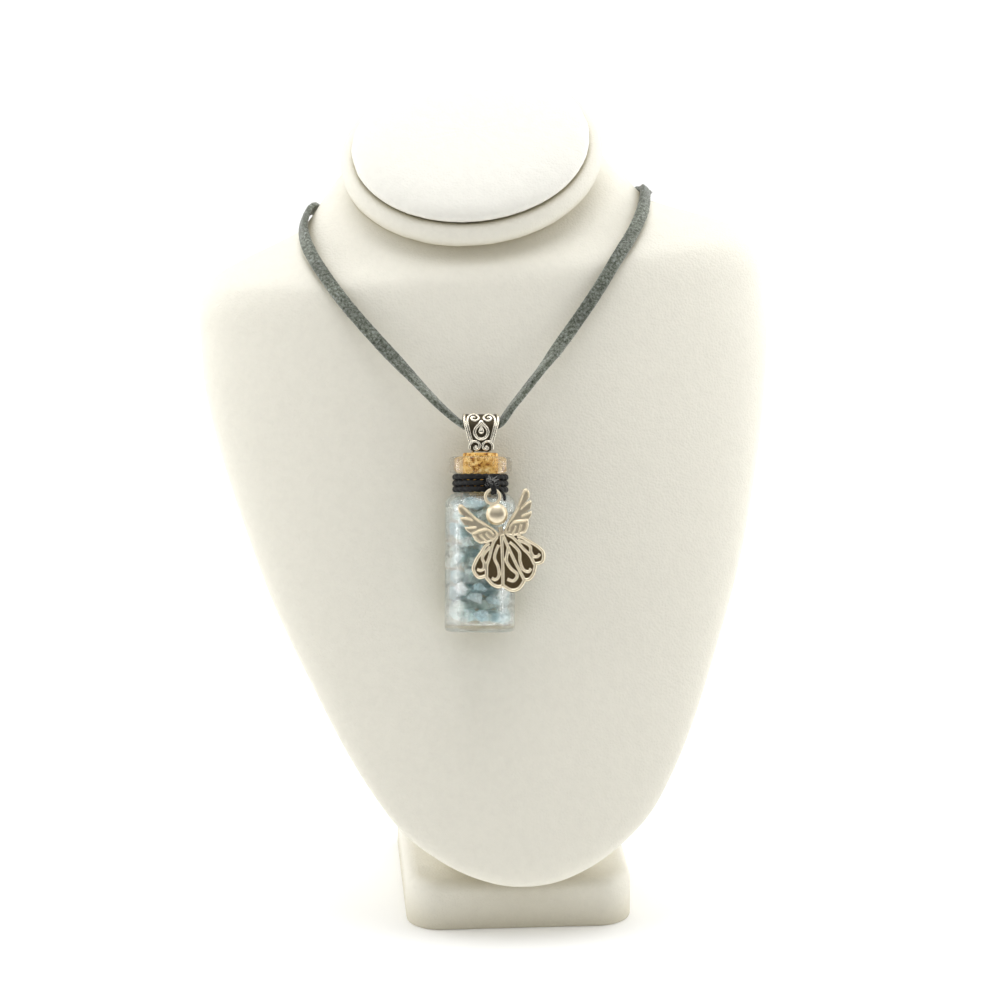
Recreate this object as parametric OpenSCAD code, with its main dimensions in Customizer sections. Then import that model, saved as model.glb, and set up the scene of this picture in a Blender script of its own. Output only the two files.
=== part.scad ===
// Glass bottle pendant with an angel charm, hung by a flat cord on a neck bust.
// Millimetres. +Z up, the front faces -Y, the origin is at the middle of the foot print.

/* [Neck bust] */
// Length of the form along its slope, from the lower tip to the nape
form_len = 190; // [185:1:196]
// Width of the form across the shoulders
form_w = 134; // [130:0.5:138]
// Greatest thickness of the form, front to flat back
form_t = 36; // [34:0.5:38]
// Backward slope of the form from upright, in degrees
form_recline = 17; // [16:0.5:18]
// Sideways lean of the form on its foot, in degrees
form_lean = 3.6; // [0:0.2:4]
// Extra slant of the shoulders and neck, in degrees
shoulder_slant = 3; // [0:0.5:4]
// Height of the lower tip over the table
tip_h = 15.2; // [15:0.1:18]

/* [Neck top] */
// Width of the padded oval on the neck
pad_w = 56; // [50:0.5:58]
// Depth of the padded oval, front to back
pad_d = 50; // [46:0.5:54]
// Height of the pad's crown over its edge
pad_crown = 3; // [1.5:0.1:5]
// Thickness of the pad's edge
pad_edge = 2.6; // [2:0.1:4]
// Radius of the rolled rim under the pad
roll_r = 3; // [2:0.1:3.5]
// Width of the rolled rim, outside
roll_w = 62; // [58:0.2:64]
// Forward tilt of the neck's top from level, in degrees
neck_tilt = 34.4; // [32:0.2:37]

/* [Foot] */
// Width of the foot
foot_w = 53; // [46:1:70]
// Depth of the foot
foot_d = 64; // [56:1:70]
// Thickness of the foot
foot_h = 12; // [8:0.5:12]
// Radius of the foot's upright corners
foot_corner = 8; // [4:0.5:12]
// Rounding of the foot's top edge
foot_round = 3; // [1:0.5:4]
// Width of the post that carries the form
post_w = 34; // [20:1:44]
// Height on the form's back to which the post reaches
post_reach = 78; // [50:1:90]
// Gap between two seated pieces of the bust
bust_gap = 0.2; // [0.1:0.05:0.3]

/* [Bottle] */
// Outer diameter of the glass body
bottle_d = 16; // [15:0.1:17]
// Height of the bottle from its base to its lip
bottle_h = 40; // [39:0.5:42]
// Outer diameter of the lip
lip_d = 14.3; // [13.6:0.1:15.2]
// Height of the lip
lip_h = 3.9; // [3:0.1:4.5]
// Outer diameter of the neck
neck_d = 10; // [9.8:0.1:10.4]
// Height of the neck between the lip and the shoulder
neck_h = 4.3; // [4.2:0.1:5]
// Bore of the neck, which the cork fills
bore_d = 8; // [7.4:0.1:8.2]
// Glass wall of the body
wall = 0.9; // [0.7:0.05:1.1]
// Glass thickness of the base
base_t = 1.5; // [1:0.1:2.5]
// Radius of the shoulder's curve
shoulder_r = 3; // [2:0.1:3.4]

/* [Cork and screw eye] */
// Length of the cork
cork_len = 9; // [7:0.5:9.5]
// Height of the cork over the lip
cork_proud = 0.9; // [0.5:0.1:1.4]
// Clearance of the cork in the bore, on the radius
cork_fit = 0.05; // [0.03:0.01:0.08]
// Mean radius of the screw eye's ring
eye_r = 1.8; // [1.75:0.05:1.9]
// Wire thickness of the screw eye
eye_wire = 0.8; // [0.6:0.05:0.85]
// Length of the screw in the cork
screw_len = 5.5; // [4:0.5:6]

/* [Bail] */
// Width of the bail over the cord
bail_w = 8.2; // [7.8:0.1:9]
// Width of the bail at its foot
bail_foot_w = 5.6; // [5:0.1:6.2]
// Inner radius of the bail's turn over the cord
bail_r = 2.4; // [2.35:0.05:2.5]
// Thickness of the bail's metal
bail_t = 0.8; // [0.7:0.05:0.85]
// Height of the raised ornament
relief = 0.35; // [0.2:0.05:0.4]
// Drop of the bail's front below the cord
bail_drop = 5.4; // [5.2:0.1:5.6]
// Width of the bar that holds the screw eye
bar_w = 1.2; // [1:0.1:1.3]

/* [Neck winding] */
// Thickness of the waxed thread
thread_d = 1.35; // [1.2:0.05:1.38]
// Turns of thread round the neck
thread_turns = 3; // [2:1:3]
// Gap between the thread and the glass
thread_gap = 0.05; // [0.02:0.01:0.1]

/* [Angel charm] */
// Width of the charm across the wings
charm_w = 17; // [16:0.2:18]
// Length of the charm below its ring
charm_len = 22.2; // [21:0.2:23]
// Thickness of the charm's plate
charm_t = 0.9; // [0.7:0.05:1]
// Height of the charm's raised lines
charm_relief = 0.45; // [0.3:0.05:0.5]
// Width of the charm's raised lines
line_w = 0.5; // [0.4:0.05:0.6]
// Outer diameter of the charm's ring
ring_d = 4; // [3.9:0.05:4.2]
// Wire thickness of the charm's ring
ring_wire = 0.75; // [0.65:0.05:0.8]
// Diameter of the angel's head
head_d = 5; // [4.4:0.1:5.2]
// Sideways tilt of the charm, in degrees
charm_tilt = 14; // [10:1:16]
// Gap between the charm and the glass
charm_gap = 0.3; // [0.2:0.05:0.5]

/* [Place on the chest] */
// Place of the pendant across the chest, from the form's middle line
pendant_side = -4.1; // [-5:0.1:-3]
// Gap between the glass and the chest
chest_gap = 0.3; // [0.3:0.05:0.5]
// Sideways turn of the pendant from plumb, in degrees
pendant_roll = 1.3; // [0:0.1:2]

/* [Cord] */
// Width of the flat cord
cord_w = 3; // [2.8:0.1:3]
// Thickness of the flat cord
cord_t = 1.5; // [1.2:0.1:1.5]
// Length of the clasp
clasp_len = 16; // [12:1:18]
// Diameter of the clasp
clasp_d = 5; // [4:0.5:6]

/* [Hidden] */
round_fn = 64;
small_fn = 32;

// Place of the form and its foot in the frame
foot_x = 5;
tip_side = 3;
form_x = foot_x + tip_side;
tip_y = -46;
tip_over = 12.8;
foot_front = tip_y + tip_over;

// Cross-sections of the form from the lower tip to the neck. Each runs from a front
// point to a back point; heights along the slope are shares of form_len, depths behind
// the front plane shares of form_t, and half widths shares of form_w / 2.
// [front height, front depth, back height, back depth, half width, widest at, back shape]
sections = [
    [0.000, 0.139, 0.000, 0.150, 0.010, 0.50, 1.0],
    [0.002, 0.095, 0.002, 0.180, 0.070, 0.50, 1.0],
    [0.008, 0.062, 0.008, 0.215, 0.138, 0.50, 1.0],
    [0.021, 0.030, 0.021, 0.255, 0.225, 0.48, 0.9],
    [0.042, 0.010, 0.042, 0.295, 0.318, 0.46, 0.8],
    [0.074, 0.000, 0.074, 0.325, 0.421, 0.46, 0.7],
    [0.116, 0.000, 0.116, 0.360, 0.505, 0.48, 0.6],
    [0.179, 0.000, 0.179, 0.415, 0.600, 0.52, 0.6],
    [0.263, 0.000, 0.263, 0.490, 0.701, 0.57, 0.6],
    [0.368, 0.000, 0.368, 0.578, 0.815, 0.62, 0.6],
    [0.474, 0.000, 0.474, 0.667, 0.900, 0.65, 0.6],
    [0.568, 0.000, 0.568, 0.750, 0.962, 0.68, 0.6],
    [0.642, 0.000, 0.645, 0.806, 0.995, 0.70, 0.6],
    [0.690, 0.000, 0.705, 0.850, 0.998, 0.70, 0.6],
    [0.716, 0.000, 0.755, 0.889, 0.996, 0.68, 0.6],
    [0.732, 0.000, 0.798, 0.917, 0.945, 0.64, 0.6],
    [0.743, 0.006, 0.821, 0.935, 0.858, 0.58, 0.65],
    [0.752, 0.020, 0.855, 0.950, 0.676, 0.49, 0.7],
    [0.760, 0.045, 0.883, 0.965, 0.604, 0.51, 0.8],
    [0.768, 0.080, 0.935, 0.976, 0.525, 0.50, 0.9],
    [0.775, 0.105, 0.963, 0.985, 0.470, 0.50, 1.0],
    [0.781, 0.118, 0.992, 0.993, 0.441, 0.50, 1.0],
    [0.790, 0.130, 1.020, 1.000, 0.430, 0.50, 1.0],
];
slant_start = 0.45;
slant_end = 0.70;
slant_share = 0.3;
section_steps = 2;
section_points = 44;

function blend4(a, b, c, d, t) =
    0.5 * (2 * b + (c - a) * t + (2 * a - 5 * b + 4 * c - d) * t * t
    + (3 * b - a - 3 * c + d) * t * t * t);
function row_at(rows, k, t) =
    blend4(rows[max(k - 1, 0)], rows[k], rows[k + 1], rows[min(k + 2, len(rows) - 1)], t);
function slant_at(share) =
    slant_share * shoulder_slant
    * min(1, max(0, (share - slant_start) / (slant_end - slant_start)));
function section_ring(s) =
    let (front = [s[0] * form_len, s[1] * form_t], back = [s[2] * form_len, s[3] * form_t],
        wide = front + s[5] * (back - front), half = s[4] * form_w / 2)
    [for (i = [0:section_points - 1])
        let (a = 360 * i / section_points, c = cos(a), d = sin(a),
            k = d >= 0 ? 1 : s[6],
            u = half * sign(c) * pow(abs(c), k),
            p = wide + pow(abs(d), k) * ((d >= 0 ? front : back) - wide))
        [u, p[1], p[0] + u * tan(slant_at(s[0]))]];
function ring_faces(n, rings) = concat(
    [[for (i = [n - 1:-1:0]) i]],
    [for (j = [0:rings - 2]) for (i = [0:n - 1])
        [j * n + i, (j + 1) * n + (i + 1) % n, (j + 1) * n + i]],
    [for (j = [0:rings - 2]) for (i = [0:n - 1])
        [j * n + i, j * n + (i + 1) % n, (j + 1) * n + (i + 1) % n]],
    [[for (i = [0:n - 1]) (rings - 1) * n + i]]);
form_rings = concat(
    [for (k = [0:len(sections) - 2]) for (j = [0:section_steps - 1])
        section_ring(row_at(sections, k, j / section_steps))],
    [section_ring(sections[len(sections) - 1])]);

// The middle of the neck's top, seen along the form's own slope
neck_up = 0.912 * form_len;
neck_back = 0.417 * form_t;
neck_turn = neck_tilt + form_recline;

// Stands a shape drawn on the form's front plane up on the foot
module on_form() {
    translate([form_x, 0, 0]) rotate([0, -form_lean, 0]) translate([0, tip_y, tip_h])
        rotate([-form_recline, 0, 0]) children();
}
module on_neck() {
    on_form() translate([0, neck_back, neck_up]) rotate([neck_turn, -shoulder_slant, 0])
        children();
}

// The flat back of the form, from two of its sections
back_low = [sections[6][3] * form_t, sections[6][2] * form_len];
back_high = [sections[11][3] * form_t, sections[11][2] * form_len];
back_turn = atan2(back_high[0] - back_low[0], back_high[1] - back_low[1]);

// Padded form: a closed loft over its sections, cut level with the rolled rim's seat
module bust_form() color("whitesmoke") difference() {
    on_form() polyhedron([for (ring = form_rings) each ring],
        ring_faces(section_points, len(form_rings)));
    on_neck() translate([-form_w, -form_w, -2 * roll_r - 2 * bust_gap])
        cube([2 * form_w, 2 * form_w, form_w]);
}

// Rolled rim with the disc that it is wrapped on
module neck_roll() color("whitesmoke") on_neck()
    translate([0, 0, -roll_r - bust_gap]) scale([1, pad_d / pad_w, 1])
        rotate_extrude($fn = round_fn) {
            translate([roll_w / 2 - roll_r, 0]) circle(r = roll_r, $fn = 24);
            translate([0, -roll_r]) square([roll_w / 2 - roll_r, 2 * roll_r]);
        }

// Padded oval with a rounded edge and a low crown
pad_flat = pad_w / 2 - pad_edge / 2;
crown_r = (pad_flat * pad_flat + pad_crown * pad_crown) / (2 * pad_crown);
module top_pad() color("white") on_neck() scale([1, pad_d / pad_w, 1])
    rotate_extrude($fn = round_fn) {
        translate([pad_flat, pad_edge / 2]) circle(d = pad_edge, $fn = 24);
        square([pad_flat, pad_edge]);
        intersection() {
            translate([0, pad_edge + pad_crown - crown_r]) circle(r = crown_r, $fn = 256);
            translate([0, pad_edge / 2]) square([pad_flat, pad_edge + pad_crown]);
        }
    }

// Foot block with rounded corners, and the leaning post that the form's back rests on
module foot_block() hull()
    for (x = [-1, 1], y = [-1, 1])
        translate([foot_x + x * (foot_w / 2 - foot_corner),
                foot_front + foot_d / 2 + y * (foot_d / 2 - foot_corner), 0])
            rotate_extrude($fn = small_fn) {
                square([foot_corner, foot_h - foot_round]);
                square([foot_corner - foot_round, foot_h]);
                translate([foot_corner - foot_round, foot_h - foot_round])
                    circle(r = foot_round, $fn = 24);
            }
module post_blank() translate([foot_x + post_w / 2, foot_front + foot_corner, foot_h - 1])
    rotate([90, 0, -90]) mirror([1, 0, 0]) linear_extrude(post_w)
        polygon([[0, 0], [0, post_reach], [foot_d / 2, post_reach], [foot_d * 0.7, 0]]);
module bust_foot() color("whitesmoke") {
    foot_block();
    difference() {
        post_blank();
        on_form() translate([-form_w, back_low[0] + bust_gap, back_low[1]])
            rotate([-back_turn, 0, 0])
                translate([0, -form_len, -form_len]) cube([2 * form_w, form_len, 2 * form_len]);
    }
}

// Levels of the pendant below the axis of the bail's turn over the cord
bail_gap = 0.25;
lip_top = -(bail_drop + bail_gap + cork_proud);
neck_top = lip_top - lip_h;
shoulder_top = neck_top - neck_h;
body_top = shoulder_top - shoulder_r;
foot_z = lip_top - bottle_h;
cork_top = lip_top + cork_proud;
bar_z = -bail_drop + 1.5;
eye_z = bar_z + bail_t / 2 - (eye_r - eye_wire / 2) + 0.25;

// Place of the pendant: the bottle's wall lies along the chest, and the whole hangs nearly
// plumb while the form leans sideways
hinge_up = 0.56 * form_len;
hinge_off = bottle_d / 2 + chest_gap;
module on_pendant() on_form() translate([pendant_side, -hinge_off, hinge_up])
    rotate([0, pendant_roll + form_lean, 0]) children();

function arc(c, r, a0, a1, n) =
    [for (i = [0:n]) c + r * [cos(a0 + (a1 - a0) * i / n), sin(a0 + (a1 - a0) * i / n)]];
module rod(a, b, r) translate(a) {
    v = b - a;
    rotate([0, acos(v[2] / norm(v)), atan2(v[1], v[0])]) cylinder(r = r, h = norm(v), $fn = 16);
}

// Glass bottle: straight body with a curved shoulder, narrow neck and a thick rolled lip
base_edge = 1.2;
lip_edge = 1.1;
module glass_outside() {
    r = bottle_d / 2;
    translate([0, foot_z + base_edge]) square([r, body_top - foot_z - base_edge]);
    translate([0, foot_z]) square([r - base_edge, base_edge]);
    translate([r - base_edge, foot_z + base_edge]) circle(r = base_edge, $fn = 32);
    translate([0, body_top]) square([r - shoulder_r, shoulder_r]);
    translate([r - shoulder_r, body_top]) circle(r = shoulder_r, $fn = 48);
    translate([0, body_top]) square([neck_d / 2, lip_top - body_top - lip_edge]);
    translate([0, neck_top]) square([lip_d / 2 - lip_edge, lip_h]);
    translate([0, neck_top + lip_edge]) square([lip_d / 2, lip_h - 2 * lip_edge]);
    for (z = [neck_top + lip_edge, lip_top - lip_edge])
        translate([lip_d / 2 - lip_edge, z]) circle(r = lip_edge, $fn = 32);
}
module glass_inside() {
    r = bottle_d / 2 - wall;
    floor_z = foot_z + base_t;
    translate([0, floor_z + base_edge]) square([r, body_top - floor_z - base_edge]);
    translate([0, floor_z]) square([r - base_edge, base_edge]);
    translate([r - base_edge, floor_z + base_edge]) circle(r = base_edge, $fn = 32);
    translate([0, body_top]) square([bottle_d / 2 - shoulder_r, shoulder_r - wall]);
    translate([bottle_d / 2 - shoulder_r, body_top]) circle(r = shoulder_r - wall, $fn = 48);
    translate([0, body_top]) square([bore_d / 2, lip_top + 1 - body_top]);
}
module bottle() color("lightcyan", 0.5) on_pendant() rotate_extrude($fn = round_fn)
    intersection() {
        difference() { glass_outside(); glass_inside(); }
        translate([0, foot_z]) square([bottle_d, bottle_h]);
    }

// Cork with a hole for the screw and a slot that the eye sinks into
screw_r = 0.5;
eye_low = eye_z - eye_r;
module cork() color("burlywood") on_pendant() difference() {
    translate([0, 0, cork_top - cork_len])
        cylinder(r = bore_d / 2 - cork_fit, h = cork_len, $fn = round_fn);
    translate([0, 0, eye_low - screw_len - 0.3])
        cylinder(r = screw_r + 0.1, h = screw_len + 0.3, $fn = small_fn);
    translate([0, 0, eye_z]) rotate([90, 0, 0])
        cylinder(r = eye_r + eye_wire / 2 + 0.15, h = eye_wire + 0.3, center = true, $fn = small_fn);
}

// Screw eye: a ring round the bail's bar, on a pointed screw
module screw_eye() color("silver") on_pendant() {
    translate([0, 0, eye_z]) rotate([90, 30, 0]) rotate_extrude($fn = small_fn)
        translate([eye_r, 0]) circle(d = eye_wire, $fn = 12);
    translate([0, 0, eye_low - screw_len + 1])
        cylinder(r = 0.36, h = screw_len - 1.1, $fn = 16);
    translate([0, 0, eye_low - screw_len + 1]) cylinder(r = screw_r, h = screw_len - 1.6, $fn = 16);
    translate([0, 0, eye_low - screw_len])
        cylinder(r1 = 0.1, r2 = screw_r, h = 1, $fn = 16);
}

// Bail, one casting: a strap bent over the cord and back to a short bar at its foot. Its side
// view is a round turn drawn down to a small one; its front is cut to a tapered outline.
scroll_r = 1.3;
loop_low = bar_z + bail_t / 2 + 0.9;
loop_slope = asin((bail_r - 0.9) / -loop_low);
module side_loop(grow) {
    big = bail_r + grow;
    small = 0.9 + grow;
    circle(r = big, $fn = 48);
    translate([0, loop_low]) circle(r = small, $fn = 32);
    polygon([for (x = [-1, 1]) [x * big * cos(loop_slope), -big * sin(loop_slope)],
        for (x = [1, -1]) [x * small * cos(loop_slope), loop_low - small * sin(loop_slope)]]);
}
module side_strap(grow) {
    difference() { side_loop(bail_t + grow); side_loop(0); }
    translate([-bail_r - bail_t - grow, -bail_drop]) square([bail_t + grow, bail_drop]);
}
module across(width) rotate([90, 0, 90])
    translate([0, 0, -width / 2]) linear_extrude(width) children();
module front_outline() {
    polygon([[-bail_w / 2, 4], [bail_w / 2, 4], [bail_w / 2, 1.2],
        [bail_foot_w / 2, -bail_drop + 2.4], [bail_foot_w / 2 - 0.6, -bail_drop + scroll_r],
        [-bail_foot_w / 2 + 0.6, -bail_drop + scroll_r], [-bail_foot_w / 2, -bail_drop + 2.4],
        [-bail_w / 2, 1.2]]);
    for (x = [-1, 1]) translate([x * (bail_foot_w / 2 - scroll_r), -bail_drop + scroll_r])
        circle(r = scroll_r, $fn = small_fn);
}
module back_outline() polygon([[-bail_w / 2, 4], [bail_w / 2, 4], [bail_w / 2, 0.5],
    [bar_w / 2, -1.6], [bar_w / 2, -6], [-bar_w / 2, -6], [-bar_w / 2, -1.6], [-bail_w / 2, 0.5]]);
module scroll(p, r) translate(p) difference() {
    circle(r = r, $fn = small_fn);
    circle(r = r - line_w, $fn = small_fn);
}
module drop_shape(r) {
    circle(r = r, $fn = small_fn);
    polygon([[-r * 0.88, r * 0.475], [0, r * 1.75], [r * 0.88, r * 0.475]]);
}
module bail_pattern() {
    for (x = [-1, 1]) {
        polygon([[x * bail_w / 2, 4], [x * (bail_w / 2 - 0.8), 4], [x * (bail_w / 2 - 0.8), 1.2],
            [x * (bail_foot_w / 2 - 0.7), -bail_drop + 2.4],
            [x * bail_foot_w / 2, -bail_drop + 2.4], [x * bail_w / 2, 1.2]]);
        scroll([x * 1.7, 2.3], 1.35);
        translate([x * 1.7, 2.3]) circle(r = 0.4, $fn = 16);
        scroll([x * (bail_foot_w / 2 - scroll_r), -bail_drop + scroll_r], scroll_r);
        translate([x * (bail_foot_w / 2 - scroll_r), -bail_drop + scroll_r])
            circle(r = 0.4, $fn = 16);
    }
    translate([0, -0.85]) difference() { drop_shape(2.05); drop_shape(1.45); }
    translate([0, -0.85]) drop_shape(0.9);
}
module bail() color("silver") on_pendant() {
    seam = bail_r - 0.15;
    intersection() {
        across(bail_w) side_strap(0);
        union() {
            translate([0, -seam, 0]) rotate([90, 0, 0]) linear_extrude(2) front_outline();
            translate([0, 4, 0]) rotate([90, 0, 0]) linear_extrude(4 + seam) back_outline();
        }
    }
    intersection() {
        across(bail_w) difference() {
            side_strap(relief);
            side_loop(bail_t / 2);
            translate([-bail_r, -2 * bail_drop]) square(2 * bail_drop + 0.6);
        }
        translate([0, -0.9, 0]) rotate([90, 0, 0]) linear_extrude(4) bail_pattern();
    }
}

// Waxed thread: turns round the glass neck, a knot over them, a tail, and a small loop that
// goes through the charm's ring
turn_pitch = thread_d + 0.05;
turn_r = neck_d / 2 + thread_gap + thread_d / 2;
thread_top = neck_top - thread_gap - thread_d / 2;
thread_low = thread_top - (thread_turns - 1) * turn_pitch;
charm_x = 2.4;
charm_y = -(bottle_d / 2 + charm_gap + charm_t / 2);
ring_r = ring_d / 2 - ring_wire / 2;
ring_z = neck_top - 5.35;
loop_wire = 0.5;
loop_r = ring_wire / 2 + 0.15 + loop_wire;
module neck_thread() color("dimgray") on_pendant() {
    for (i = [0:thread_turns - 1]) translate([0, 0, thread_top - i * turn_pitch])
        rotate_extrude($fn = round_fn) translate([turn_r, 0]) circle(d = thread_d, $fn = 16);
    rod([1.7, -turn_r + 0.1, thread_top], [1.9, -turn_r + 0.1, thread_low], 0.6);
    translate([1.9, -turn_r - 1.1, ring_z + ring_r + 1.2]) sphere(r = 1.2, $fn = 24);
    translate([charm_x, charm_y + 0.8, ring_z + ring_r + 0.9]) sphere(r = 0.8, $fn = 20);
    translate([charm_x, charm_y, ring_z + ring_r]) rotate([0, 90, 0])
        rotate_extrude($fn = small_fn) translate([loop_r, 0]) circle(r = loop_wire, $fn = 12);
    rod([0.79 * turn_r, -0.68 * turn_r, thread_low],
        [0.89 * turn_r, -1.2 * turn_r, thread_low - 1.8 * thread_d], 0.35);
}

// Angel charm, one casting. Its outlines are drawn in shares of its half width and its length
// below the ring's middle: [across, down].
wing = [[0.06, 0.374], [0.17, 0.318], [0.34, 0.245], [0.54, 0.169], [0.66, 0.100],
    [0.83, 0.004], [0.91, -0.008], [0.97, 0.022], [0.98, 0.060], [0.95, 0.096], [0.82, 0.133],
    [0.66, 0.172], [0.84, 0.135], [0.97, 0.122], [0.98, 0.152], [0.95, 0.178], [0.90, 0.215],
    [0.78, 0.232], [0.63, 0.254], [0.78, 0.238], [0.92, 0.232], [0.91, 0.257], [0.88, 0.278],
    [0.77, 0.322], [0.77, 0.342], [0.74, 0.387], [0.62, 0.441], [0.42, 0.446], [0.22, 0.437],
    [0.09, 0.420]];
skirt = [[0.00, 0.360], [0.10, 0.400], [0.40, 0.425], [0.52, 0.455], [0.65, 0.500],
    [0.84, 0.567], [0.98, 0.640], [1.00, 0.685], [0.98, 0.734], [0.89, 0.781], [0.77, 0.786],
    [0.70, 0.776], [0.69, 0.811], [0.60, 0.875], [0.48, 0.915], [0.38, 0.923], [0.31, 0.914],
    [0.22, 0.962], [0.11, 0.993], [0.00, 1.000]];
// Raised lines: the wing's upper edge and its turn below, three feather edges, the step over
// the small feathers, their three ribs, the skirt's two ribs, its scalloped edge and two curls
raised = [
    [[0.91, 0.010], [0.83, 0.022], [0.67, 0.112], [0.54, 0.184], [0.34, 0.260], [0.18, 0.330],
        [0.12, 0.375], [0.14, 0.412], [0.23, 0.427], [0.42, 0.434], [0.60, 0.430]],
    [[0.93, 0.131], [0.82, 0.143], [0.65, 0.178]],
    [[0.88, 0.239], [0.78, 0.242], [0.62, 0.260]],
    [[0.75, 0.316], [0.56, 0.312], [0.38, 0.308], [0.27, 0.332], [0.21, 0.377]],
    [[0.74, 0.345], [0.71, 0.387], [0.60, 0.430]],
    [[0.55, 0.339], [0.51, 0.380], [0.44, 0.430]],
    [[0.39, 0.345], [0.36, 0.386], [0.27, 0.425]],
    [[0.02, 0.400], [0.10, 0.571], [0.20, 0.752], [0.30, 0.905]],
    [[0.14, 0.410], [0.28, 0.460], [0.46, 0.585], [0.59, 0.667], [0.65, 0.757], [0.69, 0.772]],
    [[0.38, 0.445], [0.51, 0.466], [0.63, 0.511], [0.81, 0.575], [0.94, 0.645], [0.96, 0.685],
        [0.94, 0.729], [0.87, 0.768], [0.77, 0.773], [0.69, 0.768]],
    [[0.69, 0.775], [0.65, 0.811], [0.57, 0.866], [0.46, 0.902], [0.38, 0.910], [0.30, 0.903]],
    [[0.30, 0.905], [0.20, 0.948], [0.10, 0.977], [0.00, 0.985]],
    [[0.38, 0.478], [0.55, 0.530], [0.66, 0.583], [0.63, 0.635], [0.68, 0.690], [0.79, 0.700],
        [0.88, 0.676]],
    [[0.15, 0.491], [0.26, 0.546], [0.34, 0.615], [0.29, 0.705], [0.32, 0.797], [0.46, 0.835],
        [0.55, 0.804]],
];
middle_curl = [[0.12, 0.530], [0.00, 0.609], [-0.05, 0.672], [0.02, 0.754], [0.13, 0.812],
    [0.12, 0.858], [-0.01, 0.888], [-0.16, 0.850]];
function on_charm(points) = [for (p = points) [p[0] * charm_w / 2, -p[1] * charm_len]];
function smooth(points, n) = concat(
    [for (k = [0:len(points) - 2]) for (j = [0:n - 1]) row_at(points, k, j / n)],
    [points[len(points) - 1]]);
function side_of(points, i) =
    let (d = points[min(i + 1, len(points) - 1)] - points[max(i - 1, 0)])
    [-d[1], d[0]] / norm(d);
function ribbon(points, w) = concat(
    [for (i = [0:len(points) - 1]) points[i] + side_of(points, i) * w / 2],
    [for (i = [len(points) - 1:-1:0]) points[i] - side_of(points, i) * w / 2]);
module line(points) {
    way = smooth(on_charm(points), 2);
    polygon(ribbon(way, line_w));
    for (p = [way[0], way[len(way) - 1]]) translate(p) circle(d = line_w, $fn = 12);
}
head_in_ring = 0.4;
head_y = -ring_d / 2 - head_d / 2 + head_in_ring;
head_rise = 0.6;
head_rim = 0.3;
dome_h = 0.9 * charm_relief + head_rise;
dome_a = head_d / 2 - head_rim;
dome_r = (dome_a * dome_a + dome_h * dome_h) / (2 * dome_h);
module both_sides() { children(); mirror([1, 0]) children(); }
module angel_charm() color("silver") on_pendant()
    translate([charm_x, charm_y + charm_t / 2, ring_z]) rotate([90, 0, 0])
        rotate([0, 0, charm_tilt]) {
            linear_extrude(charm_t) {
                both_sides() { polygon(on_charm(wing)); polygon(on_charm(skirt)); }
                translate([0, head_y]) circle(d = head_d, $fn = 48);
                translate([-charm_w / 19, -0.4 * charm_len])
                    square([charm_w / 9.5, 0.12 * charm_len]);
            }
            translate([0, 0, charm_t / 2]) linear_extrude(charm_t / 2 + charm_relief) {
                both_sides() for (row = raised) line(row);
                line(middle_curl);
            }
            intersection() {
                translate([0, head_y, charm_t + dome_h - dome_r])
                    sphere(r = dome_r, $fn = round_fn);
                translate([0, head_y, charm_t / 2])
                    cylinder(r = dome_a, h = charm_t / 2 + dome_h, $fn = 48);
            }
            translate([0, 0, charm_t / 2]) rotate_extrude($fn = small_fn)
                translate([ring_r, 0]) circle(d = ring_wire, $fn = 12);
        }

// Raw chips, loose in the glass: rings of six and a middle column, each a jittered solid
chip_r = 2.05;
chip_ring = bottle_d / 2 - wall - chip_r - 0.12;
chip_floor = foot_z + base_t + chip_r + 0.15;
ring_layers = 8;
ring_step = (body_top - 0.2 - chip_floor) / (ring_layers - 1);
column_chips = 6;
column_low = foot_z + base_t + 0.2;
column_room = cork_top - cork_len - 0.2 - column_low;
column_r = min(chip_ring - chip_r - 0.4, column_room / column_chips / 2 - 0.06);
column_step = (column_room - 2 * column_r) / (column_chips - 1);
gold = (1 + sqrt(5)) / 2;
chip_corners = [[0, 1, gold], [0, -1, gold], [0, 1, -gold], [0, -1, -gold], [1, gold, 0],
    [-1, gold, 0], [1, -gold, 0], [-1, -gold, 0], [gold, 0, 1], [-gold, 0, 1], [gold, 0, -1],
    [-gold, 0, -1]];
chip_faces = [[0, 8, 1], [0, 4, 8], [0, 5, 4], [0, 9, 5], [0, 1, 9], [3, 10, 2], [3, 6, 10],
    [3, 7, 6], [3, 11, 7], [3, 2, 11], [8, 4, 10], [8, 10, 6], [8, 6, 1], [1, 6, 7], [1, 7, 9],
    [9, 7, 11], [9, 11, 5], [5, 11, 2], [5, 2, 4], [4, 2, 10]];
module chip(seed, r, least) {
    turn = rands(0, 360, 3, seed);
    size = rands(least, 1, 12, seed + 500);
    rotate(turn) polyhedron([for (i = [0:11]) chip_corners[i] / norm([1, gold]) * r * size[i]],
        chip_faces);
}
module crystal_chips() color("powderblue") on_pendant() {
    for (j = [0:ring_layers - 1], i = [0:5])
        rotate([0, 0, 60 * i + 30 * (j % 2)])
            translate([chip_ring, 0, chip_floor + j * ring_step]) chip(10 * j + i, chip_r, 0.72);
    for (j = [0:column_chips - 1])
        translate([0, 0, column_low + column_r + j * column_step]) chip(200 + j, column_r, 0.78);
}

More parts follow.
